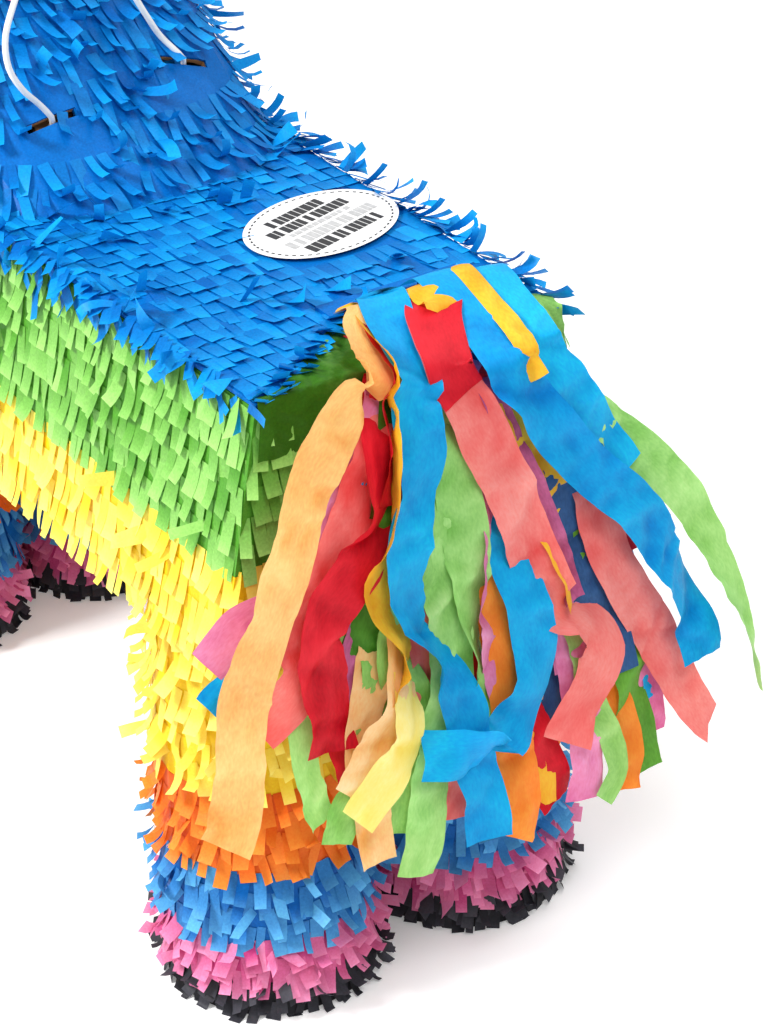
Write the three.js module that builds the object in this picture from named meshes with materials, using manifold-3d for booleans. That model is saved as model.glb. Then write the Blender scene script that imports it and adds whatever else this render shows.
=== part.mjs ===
// A donkey piñata: a corrugated-board body on four paper tubes, wrapped in bands of fringed tissue paper.
// Millimetres, +Z up. The head points to -Y, the tail to +Y, and the donkey's own left is +X.
// Every piece is first placed about the middle of the body; the whole group is centred at the end.

import * as THREE from 'three';
import { mergeVertices } from 'three/addons/utils/BufferGeometryUtils.js';
import Module from 'manifold-3d';

const wasm = await Module();
wasm.setup();

// ---------------------------------------------------------------- driving dimensions

const BOARD = 3; // thickness of the corrugated board
const TUBE_WALL = 2; // wall of the rolled paper legs
const GAP = 0.3; // room left between pieces that touch
const TISSUE = 1.5; // depth of the tissue wrap under its fringe

const BODY = { halfLength: 222, belly: 203, back: 315, topRear: 75.5, topFront: 87, bottom: 95, steps: 12 };
const LEG = { x: 55, topY: 172, lean: 10, footRadius: 49, topRadius: 41.5, segments: 24 };
const LEG_BANDS = [
  { name: 'black', low: 0.6, high: 13 },
  { name: 'pink', low: 13, high: 40 },
  { name: 'blue', low: 40, high: 77 },
  { name: 'orange', low: 77, high: 118 },
  { name: 'yellow', low: 118, high: 200 },
];
const SIDE_BANDS = [
  { name: 'yellow', low: 203, high: 240 },
  { name: 'green', low: 240, high: 315 },
];

// The neck is a stack of rounded level sections, each given by its back, its front and its half width.
const NECK = [
  { z: 315.3, back: 30, front: -219, halfWidth: 82 },
  { z: 330, back: 2, front: -220, halfWidth: 85 },
  { z: 348, back: -22, front: -221, halfWidth: 84 },
  { z: 372, back: -49, front: -222, halfWidth: 80 },
  { z: 392, back: -74, front: -219, halfWidth: 71 },
  { z: 410, back: -97, front: -208, halfWidth: 55 },
  { z: 424, back: -116, front: -190, halfWidth: 32 },
];
const NECK_ROUND = 3.2; // exponent of the rounded section, 2 is an ellipse
const NECK_GAP = 0.7; // level gap, because the wall leans
const NECK_SEGMENTS = 26;

// The head is a stack of rounded sections along an axis that points forwards and down.
const HEAD = { y: -125, z: 462, pitch: 22, round: 3, wall: BOARD, segments: 24 };
const HEAD_SECTIONS = [
  { along: 0, halfWidth: 37, halfHeight: 39 },
  { along: 16, halfWidth: 44, halfHeight: 45 },
  { along: 60, halfWidth: 47, halfHeight: 47 },
  { along: 110, halfWidth: 43, halfHeight: 41 },
  { along: 150, halfWidth: 38, halfHeight: 34 },
  { along: 182, halfWidth: 38, halfHeight: 33 },
  { along: 196, halfWidth: 35, halfHeight: 30 },
];
const EAR = { along: 26, x: 25, sink: 8, height: 92, base: 13, wide: 21, splay: 13, turn: 22 };
const EYE = { along: 66, up: 12, radius: 13, thickness: 4, yaw: 4.5 };
const MANE = { halfWidth: 9, stand: 16, core: [[-105, 376], [-165, 425], [-192, 455]] };

const FILL = { x: -36, y: 97, halfWidth: 35, halfLength: 26.5, chord: 0.72, gap: 0.5, paper: 0.6, segments: 20 };
const LABEL = { halfWidth: 38.4, halfLength: 29.8 };

const SLOTS = [
  { side: 'left', x: 35, z: 347, turn: 12 },
  { side: 'right', x: -43, z: 355, turn: -25 },
];
const SLOT = { length: 27, width: 4.4, depth: 24 };
const HANGER = { length: 88, width: 24, thickness: 3, below: 12.5, clearance: 2.2 };
const KNOT = { radius: 4.5, below: 17.5 };
const CORD = { diameter: 3, sides: 8, step: 8 };

// Points that the cord follows between its two slots, left to right.
const CORD_ROUTE = [
  [41, -22, 357],
  [50, -20, 367],
  [56, -20, 379],
  [56, -21, 393],
  [50, -23, 406],
  [42, -26, 418],
  [34, -29, 429],
  [25, -32, 438],
  [16, -34, 442],
  [7, -35, 441],
  [0, -36, 434],
  [-6, -37, 423],
  [-12, -37, 410],
  [-19, -36, 395],
  [-27, -36, 380],
  [-34, -37, 369],
];

const TAIL_STRIP = { x: -26, halfWidth: 37, rear: 178, front: 166, thickness: 2 };
const TAIL_PATH = [
  [184, 323],
  [194, 332],
  [208, 336],
  [227, 329],
  [241, 302],
  [249, 252],
  [258, 184],
  [270, 116],
  [281, 62],
];
const TAIL_THICKNESS = 9;
const TAIL_FANS = [
  { name: 'left', rootX: -2, tipX: 80, rootWidth: 22, tipWidth: 96 },
  { name: 'middle', rootX: -26, tipX: -18, rootWidth: 24, tipWidth: 96 },
  { name: 'right', rootX: -50, tipX: -99, rootWidth: 22, tipWidth: 58 },
];

const COLOURS = {
  board: 0xb98a5a,
  tube: 0xc9a071,
  blue: 0x0a6fc4,
  green: 0x56a83f,
  yellow: 0xf4e33c,
  orange: 0xf27a24,
  pink: 0xe0569a,
  black: 0x2b2b30,
  white: 0xf2f2f0,
  cord: 0xf4f3ee,
  streamers: 0xe65a4a,
};

// ---------------------------------------------------------------- helpers

const X_AXIS = new THREE.Vector3(1, 0, 0);
const group = new THREE.Group();

function material(colour, roughness = 0.9) {
  return new THREE.MeshStandardMaterial({ color: colour, roughness, metalness: 0 });
}

function add(name, geometry, colour, roughness) {
  const mesh = new THREE.Mesh(geometry, material(colour, roughness));
  mesh.name = name;
  group.add(mesh);
  return mesh;
}

// Moves every corner of a geometry by a function, and keeps only its positions.
function reshape(geometry, move) {
  geometry.deleteAttribute('normal');
  geometry.deleteAttribute('uv');
  const welded = mergeVertices(geometry, 1e-4);
  const position = welded.getAttribute('position');
  const point = new THREE.Vector3();
  for (let i = 0; i < position.count; i += 1) {
    point.fromBufferAttribute(position, i);
    move(point);
    position.setXYZ(i, point.x, point.y, point.z);
  }
  return welded;
}

function solid(geometry) {
  const welded = reshape(geometry, () => {});
  const vertProperties = new Float32Array(welded.getAttribute('position').array);
  const triVerts = new Uint32Array(welded.getIndex().array);
  return new wasm.Manifold(new wasm.Mesh({ numProp: 3, vertProperties, triVerts }));
}

// The largest body of a cut solid, as a geometry.
function geometryOf(cut) {
  const bodies = cut.decompose();
  const largest = bodies.reduce((a, b) => (a.volume() > b.volume() ? a : b));
  const mesh = largest.getMesh();
  const geometry = new THREE.BufferGeometry();
  geometry.setAttribute('position', new THREE.BufferAttribute(new Float32Array(mesh.vertProperties), 3));
  geometry.setIndex(new THREE.BufferAttribute(new Uint32Array(mesh.triVerts), 1));
  return geometry;
}

function lerp(a, b, t) {
  return a + (b - a) * t;
}

// A rounded section: the point at an angle on a superellipse with the given half sizes.
function rounded(angle, halfA, halfB, exponent) {
  const c = Math.cos(angle);
  const s = Math.sin(angle);
  return [
    halfA * Math.sign(c) * Math.abs(c) ** (2 / exponent),
    halfB * Math.sign(s) * Math.abs(s) ** (2 / exponent),
  ];
}

// ---------------------------------------------------------------- body

// Half the body's width at a place: the sides lean outwards to the belly, and the back widens to the neck.
function bodyHalf(y, z) {
  const top = lerp(BODY.topRear, BODY.topFront, 0.5 - y / (2 * BODY.halfLength));
  return lerp(BODY.bottom, top, (z - BODY.belly) / (BODY.back - BODY.belly));
}

// A block that fills the body's section between two heights and two ends, grown sideways by offset.
function bodyBlock(offset, y0, y1, z0, z1) {
  return reshape(new THREE.BoxGeometry(2, 1, 1, 1, BODY.steps, 1), (p) => {
    const side = p.x;
    p.y = lerp(y0, y1, p.y + 0.5);
    p.z = lerp(z0, z1, p.z + 0.5);
    p.x = side * (bodyHalf(p.y, p.z) + offset);
  });
}

function sidePanel(side) {
  return reshape(new THREE.BoxGeometry(1, 1, 1, 1, BODY.steps, 1), (p) => {
    const depth = side > 0 ? 0.5 - p.x : 0.5 + p.x;
    p.y = p.y * 2 * BODY.halfLength;
    p.z = lerp(BODY.belly, BODY.back, p.z + 0.5);
    p.x = side * (bodyHalf(p.y, p.z) - depth * BOARD);
  });
}

// The fill opening's outline: an ellipse whose front end is cut straight, where the flap hinges.
function fillOutline(grow) {
  const cut = Math.asin(-FILL.chord);
  const shape = new THREE.Shape();
  shape.absellipse(FILL.x, FILL.y, FILL.halfWidth + grow, FILL.halfLength + grow, cut, Math.PI - cut, false);
  shape.closePath();
  return shape;
}

function labelOutline() {
  const shape = new THREE.Shape();
  shape.absellipse(FILL.x, FILL.y, LABEL.halfWidth, LABEL.halfLength, 0, 2 * Math.PI, false);
  return shape;
}

function plate(shape, low, high) {
  const options = { depth: high - low, bevelEnabled: false, curveSegments: FILL.segments };
  return new THREE.ExtrudeGeometry(shape, options).translate(0, 0, low);
}

const inset = -BOARD - GAP;
const endInner = BODY.halfLength - BOARD;
const tissueTop = BODY.back + GAP + TISSUE;
const labelLow = tissueTop + GAP;
const fillHole = solid(plate(fillOutline(FILL.gap), BODY.back - 20, BODY.back + 20));

add('left_side_panel', sidePanel(1), COLOURS.board);
add('right_side_panel', sidePanel(-1), COLOURS.board);
add('rump_panel', bodyBlock(inset, endInner, BODY.halfLength, BODY.belly, BODY.back), COLOURS.board);
add('chest_panel', bodyBlock(inset, -BODY.halfLength, -endInner, BODY.belly, BODY.back), COLOURS.board);
const between = endInner - GAP;
add('belly_panel', bodyBlock(inset, -between, between, BODY.belly, BODY.belly + BOARD), COLOURS.board);
const backBlock = bodyBlock(inset, -between, between, BODY.back - BOARD, BODY.back);
add('back_panel', geometryOf(solid(backBlock).subtract(fillHole)), COLOURS.board);

// The flap, its own patch of tissue and the middle of the label swing inwards together.
add('fill_flap', plate(fillOutline(0), BODY.back - BOARD, BODY.back), COLOURS.board);
add('fill_flap_tissue', plate(fillOutline(0), BODY.back + GAP, tissueTop), COLOURS.blue);
add('fill_label', plate(fillOutline(0), labelLow, labelLow + FILL.paper), COLOURS.white, 0.5);
const labelSolid = solid(plate(labelOutline(), labelLow, labelLow + FILL.paper));
add('fill_label_rim', geometryOf(labelSolid.subtract(fillHole)), COLOURS.white, 0.5);

// A band of tissue that goes right round the body.
function sideBand(band) {
  const outer = GAP + TISSUE;
  const end = BODY.halfLength;
  const high = band.high - GAP;
  const full = solid(bodyBlock(outer, -end - outer, end + outer, band.low, high));
  const core = solid(bodyBlock(GAP, -end - GAP, end + GAP, band.low - 10, high + 10));
  return geometryOf(full.subtract(core));
}

for (const band of SIDE_BANDS) {
  add(`body_tissue_${band.name}`, sideBand(band), COLOURS[band.name]);
}

// ---------------------------------------------------------------- legs

function legRadius(z) {
  return lerp(LEG.footRadius, LEG.topRadius, z / BODY.belly);
}

// A ring round one leg. The leg leans a little towards its foot, away from the middle of the body.
function legRing(end, low, high, inner, outer) {
  const profile = [
    new THREE.Vector2(legRadius(low) + outer, low),
    new THREE.Vector2(legRadius(high) + outer, high),
    new THREE.Vector2(legRadius(high) + inner, high),
    new THREE.Vector2(legRadius(low) + inner, low),
    new THREE.Vector2(legRadius(low) + outer, low),
  ];
  const ring = new THREE.LatheGeometry(profile, LEG.segments).rotateX(Math.PI / 2);
  return reshape(ring, (p) => {
    p.y += end * LEG.lean * (1 - p.z / BODY.belly);
  });
}

for (const [endName, end] of [['front', -1], ['rear', 1]]) {
  for (const [sideName, side] of [['left', 1], ['right', -1]]) {
    const leg = `${endName}_${sideName}`;
    const place = (mesh) => mesh.position.set(side * LEG.x, end * LEG.topY, 0);
    place(add(`${leg}_leg_tube`, legRing(end, BOARD + GAP, BODY.belly - GAP, -TUBE_WALL, 0), COLOURS.tube));
    for (const band of LEG_BANDS) {
      const ring = legRing(end, band.low, band.high - GAP, GAP, GAP + TISSUE);
      place(add(`${leg}_leg_${band.name}`, ring, COLOURS[band.name]));
    }
    const disc = new THREE.CylinderGeometry(LEG.footRadius, LEG.footRadius, BOARD, LEG.segments);
    disc.rotateX(Math.PI / 2).translate(side * LEG.x, end * (LEG.topY + LEG.lean), BOARD / 2);
    add(`${leg}_hoof_board`, disc, COLOURS.board);
  }
}

// ---------------------------------------------------------------- neck

const neckShape = new THREE.CatmullRomCurve3(NECK.map((s) => new THREE.Vector3(s.back, s.front, s.halfWidth)));
const neckHeight = new THREE.CatmullRomCurve3(NECK.map((s) => new THREE.Vector3(0, 0, s.z)));

function neckSection(t) {
  const { x: back, y: front, z: halfWidth } = neckShape.getPoint(t);
  return { z: neckHeight.getPoint(t).z, middle: (back + front) / 2, halfLength: (back - front) / 2, halfWidth };
}

// The neck as a full solid, grown by offset. Its end sections can run straight on, below and above.
function neckSolid(offset, below = 0, above = 0) {
  const sections = NECK.map((_, i) => neckSection(i / (NECK.length - 1)));
  if (below > 0) {
    sections.unshift({ ...sections[0], z: sections[0].z - below });
  }
  if (above > 0) {
    const top = sections[sections.length - 1];
    sections.push({ ...top, z: top.z + above });
  }
  const last = sections.length - 1;
  const stack = new THREE.CylinderGeometry(1, 1, 1, NECK_SEGMENTS, last).rotateX(Math.PI / 2);
  return solid(reshape(stack, (p) => {
    const radius = Math.hypot(p.x, p.y);
    const s = sections[Math.round((p.z + 0.5) * last)];
    const [x, y] = rounded(Math.atan2(p.y, p.x), s.halfWidth + offset, s.halfLength + offset, NECK_ROUND);
    p.set(x * radius, s.middle + y * radius, s.z);
  }));
}

// A point of the neck's back at a given x and height.
function neckPoint(x, z) {
  let low = 0;
  let high = 1;
  for (let i = 0; i < 30; i += 1) {
    const t = (low + high) / 2;
    if (neckSection(t).z < z) {
      low = t;
    } else {
      high = t;
    }
  }
  const s = neckSection(low);
  const reach = (1 - (Math.abs(x) / s.halfWidth) ** NECK_ROUND) ** (1 / NECK_ROUND);
  return new THREE.Vector3(x, s.middle + s.halfLength * reach, z);
}

// The neck's outward normal, and the directions across and up its back, turned by an angle in that plane.
function neckFrame(x, z, turn) {
  const across = neckPoint(x + 1, z).sub(neckPoint(x - 1, z)).normalize();
  const up = neckPoint(x, z + 1).sub(neckPoint(x, z - 1)).normalize();
  const normal = across.clone().cross(up).negate().normalize();
  const along = across.clone().applyAxisAngle(normal, THREE.MathUtils.degToRad(turn));
  return { point: neckPoint(x, z), normal, along, up: normal.clone().cross(along) };
}

function turned(geometry, along, up, normal, place) {
  const matrix = new THREE.Matrix4().makeBasis(along, up, normal).setPosition(place);
  return geometry.applyMatrix4(matrix);
}

// ---------------------------------------------------------------- head

const headTilt = THREE.MathUtils.degToRad(HEAD.pitch);
const headAhead = new THREE.Vector3(0, -Math.cos(headTilt), -Math.sin(headTilt));
const headUp = new THREE.Vector3(0, -Math.sin(headTilt), Math.cos(headTilt));

function headPlace(along, up = 0, x = 0) {
  const place = new THREE.Vector3(x, HEAD.y, HEAD.z);
  return place.addScaledVector(headAhead, along).addScaledVector(headUp, up);
}

// The head as a full solid, grown by offset, with its back end moved by back and its front end by front.
function headSolid(offset, back, front) {
  const last = HEAD_SECTIONS.length - 1;
  const stack = new THREE.CylinderGeometry(1, 1, 1, HEAD.segments, last).rotateX(Math.PI / 2);
  return solid(reshape(stack, (p) => {
    const radius = Math.hypot(p.x, p.y);
    const index = Math.round((p.z + 0.5) * last);
    const s = HEAD_SECTIONS[index];
    const [x, up] = rounded(Math.atan2(p.y, p.x), s.halfWidth + offset, s.halfHeight + offset, HEAD.round);
    let along = s.along;
    if (index === 0) {
      along += back;
    }
    if (index === last) {
      along += front;
    }
    p.copy(headPlace(along, up * radius, x * radius));
  }));
}

const headOuter = GAP + TISSUE;
const headClear = headSolid(headOuter + GAP, -headOuter - GAP, 0);

add('head_board', geometryOf(headSolid(0, 0, 0).subtract(headSolid(-HEAD.wall, HEAD.wall, 10))), COLOURS.board);
const headWrap = headSolid(headOuter, -headOuter, 0).subtract(headSolid(GAP, -GAP, 10));
add('head_tissue', geometryOf(headWrap), COLOURS.blue);

const muzzleEnd = HEAD_SECTIONS[HEAD_SECTIONS.length - 1];
const muzzle = new THREE.CylinderGeometry(1, 1, BOARD, HEAD.segments);
add('muzzle_board', reshape(muzzle, (p) => {
  const radius = Math.hypot(p.x, p.z);
  const half = [muzzleEnd.halfWidth + headOuter, muzzleEnd.halfHeight + headOuter];
  const [x, up] = rounded(Math.atan2(-p.z, p.x), half[0], half[1], HEAD.round);
  p.copy(headPlace(muzzleEnd.along + GAP + BOARD / 2 + p.y, up * radius, x * radius));
}), COLOURS.board);

// Neck: an open paper tube that stands on the back panel and ends against the head.
const slotCutters = SLOTS.map((slot) => {
  const frame = neckFrame(slot.x, slot.z, slot.turn);
  const box = new THREE.BoxGeometry(SLOT.length, SLOT.width, SLOT.depth);
  return solid(turned(box, frame.along, frame.up, frame.normal, frame.point));
});

function neckShell(outer, inner) {
  let shell = neckSolid(outer).subtract(neckSolid(inner, 10, 10)).subtract(headClear);
  for (const cutter of slotCutters) {
    shell = shell.subtract(cutter);
  }
  return geometryOf(shell);
}

const neckOuter = NECK_GAP + TISSUE;
add('neck_board', neckShell(0, -BOARD), COLOURS.board);
add('neck_tissue', neckShell(neckOuter, NECK_GAP), COLOURS.blue);

const backTissue = solid(bodyBlock(GAP + TISSUE, -endInner, BODY.halfLength + GAP + TISSUE, BODY.back + GAP, tissueTop));
const backTissueCut = backTissue.subtract(neckSolid(neckOuter + NECK_GAP, 10)).subtract(fillHole);
add('back_tissue', geometryOf(backTissueCut), COLOURS.blue);

// ---------------------------------------------------------------- ears, eyes, mane

function earShape() {
  const shape = new THREE.Shape();
  shape.moveTo(-EAR.base, 0);
  shape.quadraticCurveTo(-EAR.wide * 1.35, EAR.height * 0.48, 0, EAR.height);
  shape.quadraticCurveTo(EAR.wide * 1.35, EAR.height * 0.48, EAR.base, 0);
  shape.closePath();
  return shape;
}

for (const [sideName, side] of [['left', 1], ['right', -1]]) {
  const ear = new THREE.ExtrudeGeometry(earShape(), { depth: BOARD, bevelEnabled: false, curveSegments: 8 });
  ear.translate(0, 0, -BOARD / 2).rotateX(Math.PI / 2);
  ear.rotateZ(-side * THREE.MathUtils.degToRad(EAR.turn)).rotateY(side * THREE.MathUtils.degToRad(EAR.splay));
  const foot = headPlace(EAR.along, HEAD_SECTIONS[1].halfHeight - EAR.sink, side * EAR.x);
  ear.translate(foot.x, foot.y, foot.z);
  add(`${sideName}_ear`, geometryOf(solid(ear).subtract(headClear)), COLOURS.blue);

  const eye = new THREE.CylinderGeometry(EYE.radius, EYE.radius, EYE.thickness, 24).rotateZ(Math.PI / 2);
  eye.rotateZ(-side * THREE.MathUtils.degToRad(EYE.yaw));
  const socket = headPlace(EYE.along, EYE.up, side * (HEAD_SECTIONS[2].halfWidth + headOuter));
  eye.translate(socket.x, socket.y, socket.z);
  add(`${sideName}_eye`, geometryOf(solid(eye).subtract(headClear)), COLOURS.white, 0.6);
}

// The mane stands on the crest, from between the ears to halfway down the back of the neck.
function maneShape() {
  const crest = [headPlace(58, 48), headPlace(30, 47), headPlace(6, 43), headPlace(-6, 30), headPlace(-7, 8)];
  crest.push(neckPoint(0, 418), neckPoint(0, 404), neckPoint(0, 393));
  const line = new THREE.SplineCurve(crest.map((p) => new THREE.Vector2(p.y, p.z)));
  const steps = 14;
  const outline = [];
  for (let i = 0; i <= steps; i += 1) {
    const tangent = line.getTangent(i / steps);
    const outward = new THREE.Vector2(-tangent.y, tangent.x);
    const taper = Math.sin(Math.PI * (0.1 + (0.8 * i) / steps));
    outline.push(line.getPoint(i / steps).addScaledVector(outward, MANE.stand * taper));
  }
  return new THREE.Shape(outline.concat(MANE.core.map(([y, z]) => new THREE.Vector2(y, z))));
}

// An outline drawn in (y, z) becomes a plate across X.
const maneBlank = new THREE.ExtrudeGeometry(maneShape(), { depth: 2 * MANE.halfWidth, bevelEnabled: false });
maneBlank.translate(0, 0, -MANE.halfWidth);
maneBlank.applyMatrix4(new THREE.Matrix4().makeBasis(
  new THREE.Vector3(0, 1, 0),
  new THREE.Vector3(0, 0, 1),
  X_AXIS,
));
const maneCut = solid(maneBlank).subtract(headClear).subtract(neckSolid(neckOuter + NECK_GAP, 10, 40));
add('mane', geometryOf(maneCut), COLOURS.pink);

// ---------------------------------------------------------------- hanger and cord

const slotFrames = SLOTS.map((slot) => neckFrame(slot.x, slot.z, slot.turn));
const [leftSlot, rightSlot] = slotFrames;

function belowSlot(frame, depth) {
  return frame.point.clone().addScaledVector(frame.normal, -depth);
}

function hangerPlate() {
  const along = leftSlot.point.clone().sub(rightSlot.point).normalize();
  const mean = leftSlot.normal.clone().add(rightSlot.normal).normalize();
  const up = mean.clone().cross(along).normalize();
  const normal = along.clone().cross(up);
  const middle = leftSlot.point.clone().add(rightSlot.point).multiplyScalar(0.5);
  middle.addScaledVector(normal, -HANGER.below + HANGER.thickness / 2);
  const box = new THREE.BoxGeometry(HANGER.length, HANGER.width, HANGER.thickness);
  let board = solid(turned(box, along, up, normal, middle));
  for (const frame of slotFrames) {
    const drill = new THREE.CylinderGeometry(HANGER.clearance, HANGER.clearance, 40, 16).rotateX(Math.PI / 2);
    board = board.subtract(solid(turned(drill, frame.along, frame.up, frame.normal, frame.point)));
  }
  return geometryOf(board);
}

add('hanger_board', hangerPlate(), COLOURS.board);

for (const [index, frame] of slotFrames.entries()) {
  const centre = belowSlot(frame, KNOT.below);
  const knot = new THREE.SphereGeometry(KNOT.radius, 12, 8).translate(centre.x, centre.y, centre.z);
  add(`${SLOTS[index].side}_cord_knot`, reshape(knot, () => {}), COLOURS.cord, 0.6);
}

function cordTube() {
  const start = KNOT.below - KNOT.radius - GAP;
  const points = [belowSlot(leftSlot, start), belowSlot(leftSlot, start / 2), belowSlot(leftSlot, -2)];
  points.push(...CORD_ROUTE.map((p) => new THREE.Vector3(...p)));
  points.push(belowSlot(rightSlot, -2), belowSlot(rightSlot, start / 2), belowSlot(rightSlot, start));
  const path = new THREE.CatmullRomCurve3(points);
  const section = new THREE.Shape();
  section.absarc(0, 0, CORD.diameter / 2, 0, 2 * Math.PI, false);
  const steps = Math.round(path.getLength() / CORD.step);
  return new THREE.ExtrudeGeometry(section, { steps, curveSegments: CORD.sides / 2, extrudePath: path });
}

add('hanging_cord', reshape(cordTube(), () => {}), COLOURS.cord, 0.5);

// ---------------------------------------------------------------- tail

const stripShape = new THREE.BoxGeometry(2, 1, TAIL_STRIP.thickness);
add('tail_strip', reshape(stripShape, (p) => {
  p.x = TAIL_STRIP.x + p.x * TAIL_STRIP.halfWidth;
  p.y = lerp(TAIL_STRIP.front, TAIL_STRIP.rear, p.y + 0.5);
  p.z += tissueTop + GAP + TAIL_STRIP.thickness / 2;
}), COLOURS.blue);

const tailPath = new THREE.CatmullRomCurve3(TAIL_PATH.map(([y, z]) => new THREE.Vector3(0, y, z)));

// One bundle of streamers: a thick ribbon that arches over the rump's top edge and widens as it hangs.
function tailFan(fan) {
  return reshape(new THREE.BoxGeometry(1, 1, 1, 1, 14, 1), (p) => {
    const t = p.y + 0.5;
    const along = tailPath.getTangent(t);
    const outward = X_AXIS.clone().cross(along);
    const across = p.x * lerp(fan.rootWidth, fan.tipWidth, t) + lerp(fan.rootX, fan.tipX, t);
    const lift = p.z * TAIL_THICKNESS;
    p.copy(tailPath.getPoint(t)).addScaledVector(outward, lift);
    p.x = across;
  });
}

for (const fan of TAIL_FANS) {
  add(`tail_streamers_${fan.name}`, tailFan(fan), COLOURS.streamers, 0.8);
}

// ---------------------------------------------------------------- origin

// The origin is on the floor under the middle of the object, measured without the cord and its knots.
const extent = new THREE.Box3();
for (const mesh of group.children) {
  if (!mesh.name.includes('cord')) {
    extent.expandByObject(mesh);
  }
}
const centre = extent.getCenter(new THREE.Vector3());
group.position.set(-centre.x, -centre.y, -extent.min.z);

export default group;
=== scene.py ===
# %% [markdown]
# # A donkey piñata
# A piñata is a hollow board donkey wrapped in rows of tissue paper that is cut into short tabs, with a
# tail of loose paper streamers. The board, the tubes and the thin wraps come ready made as a frame. This
# lesson adds what makes it paper: thousands of curled tabs, creased streamers, a cord and a label.

# %% Start
import math

import bpy
import numpy as np
from mathutils import Matrix, Vector, noise
from mathutils.bvhtree import BVHTree


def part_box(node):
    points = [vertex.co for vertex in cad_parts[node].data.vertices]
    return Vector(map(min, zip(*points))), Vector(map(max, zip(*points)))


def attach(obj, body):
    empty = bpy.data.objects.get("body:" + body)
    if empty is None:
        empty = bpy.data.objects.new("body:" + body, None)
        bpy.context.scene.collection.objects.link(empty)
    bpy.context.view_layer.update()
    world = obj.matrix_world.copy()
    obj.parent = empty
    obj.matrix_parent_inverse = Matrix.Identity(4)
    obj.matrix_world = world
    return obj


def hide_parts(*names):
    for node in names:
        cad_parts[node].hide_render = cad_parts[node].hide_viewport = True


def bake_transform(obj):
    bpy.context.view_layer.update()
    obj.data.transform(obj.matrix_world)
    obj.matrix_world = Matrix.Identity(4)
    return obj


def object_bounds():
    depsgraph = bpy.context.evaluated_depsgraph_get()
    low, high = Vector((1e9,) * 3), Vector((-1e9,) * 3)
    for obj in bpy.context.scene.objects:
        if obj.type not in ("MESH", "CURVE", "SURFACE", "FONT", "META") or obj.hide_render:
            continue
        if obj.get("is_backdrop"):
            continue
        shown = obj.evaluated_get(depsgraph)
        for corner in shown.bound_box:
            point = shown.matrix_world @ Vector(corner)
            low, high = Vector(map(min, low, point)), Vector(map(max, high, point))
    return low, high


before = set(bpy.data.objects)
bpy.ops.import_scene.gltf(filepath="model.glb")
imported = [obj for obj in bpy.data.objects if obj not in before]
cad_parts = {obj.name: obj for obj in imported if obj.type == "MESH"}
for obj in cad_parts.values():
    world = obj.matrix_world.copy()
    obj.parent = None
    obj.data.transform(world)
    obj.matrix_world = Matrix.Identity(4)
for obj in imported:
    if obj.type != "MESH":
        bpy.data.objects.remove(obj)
cad_low, cad_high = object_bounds()
print("the frame is", [round(v, 3) for v in cad_high - cad_low], "m")

# %% [markdown]
# ## Measuring from the middle of the body
# Every place below is in millimetres from a point on the floor under the middle of the belly board. The
# head is towards -Y and the tail towards +Y. One function turns such a place into the frame's metres.

# %% Places
MM = 0.001
belly_low, belly_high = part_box("belly_panel")
BODY_MIDDLE = Vector(((belly_low.x + belly_high.x) / 2, (belly_low.y + belly_high.y) / 2, 0))


def place(x, y, z):
    return BODY_MIDDLE + Vector((x, y, z)) * MM


def clean_slate():
    bpy.ops.object.select_all(action="DESELECT")


def linked(name, data):
    """A new object in the scene that shows this data."""
    made = bpy.data.objects.new(name, data)
    bpy.context.scene.collection.objects.link(made)
    return made


clean_slate()
print("body middle", BODY_MIDDLE)

# %% [markdown]
# ## The camera
# It looks down on the donkey from behind its left side. A long lens keeps the far legs almost as large as
# the near ones. The small roll is a real camera's, held by hand.

# %% Camera
CAMERA_AT = place(573.2, 1056.2, 836.1)
CAMERA_AIM = place(-125.8, 12.9, 96.5)
CAMERA_ROLL = math.radians(-0.77)
SENSOR_HEIGHT = 24
LENS_PER_SENSOR = 2.662

view_line = (CAMERA_AIM - CAMERA_AT).normalized()
level_right = view_line.cross(Vector((0, 0, 1))).normalized()
level_up = level_right.cross(view_line)
camera_right = level_right * math.cos(CAMERA_ROLL) + level_up * math.sin(CAMERA_ROLL)
camera_up = camera_right.cross(view_line)
camera_data = bpy.data.cameras.new("camera")
camera_data.sensor_fit = "VERTICAL"
camera_data.sensor_height = SENSOR_HEIGHT
camera_data.lens = SENSOR_HEIGHT * LENS_PER_SENSOR
camera = linked("camera", camera_data)
camera.matrix_world = Matrix(
    (
        (camera_right.x, camera_up.x, -view_line.x, CAMERA_AT.x),
        (camera_right.y, camera_up.y, -view_line.y, CAMERA_AT.y),
        (camera_right.z, camera_up.z, -view_line.z, CAMERA_AT.z),
        (0, 0, 0, 1),
    )
)
bpy.context.scene.camera = camera
print("lens", round(camera_data.lens, 1), "mm on a sensor", SENSOR_HEIGHT, "mm high")

# %% [markdown]
# ## Paper and plastic
# Tissue is a mat of fine fibres: nearly matt, and it lets a little light through. So its shader mixes a
# Principled surface with a Translucent one. Each tab carries a number called tone, and the
# colour runs from a deep to a pale version of itself by that number, as tabs do that lie in the shade of
# their neighbours or catch the light at their tips.

# %% Paper materials
def node(tree, kind, **settings):
    made = tree.nodes.new(kind)
    for name, value in settings.items():
        setattr(made, name, value)
    return made


def noise_on(tree, vector, scale, detail=3, stretch=(1, 1, 1)):
    mapping = node(tree, "ShaderNodeMapping")
    mapping.inputs["Scale"].default_value = stretch
    tree.links.new(vector, mapping.inputs["Vector"])
    texture = node(tree, "ShaderNodeTexNoise")
    texture.inputs["Scale"].default_value = scale
    texture.inputs["Detail"].default_value = detail
    tree.links.new(mapping.outputs["Vector"], texture.inputs["Vector"])
    return texture.outputs["Fac"]


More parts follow.
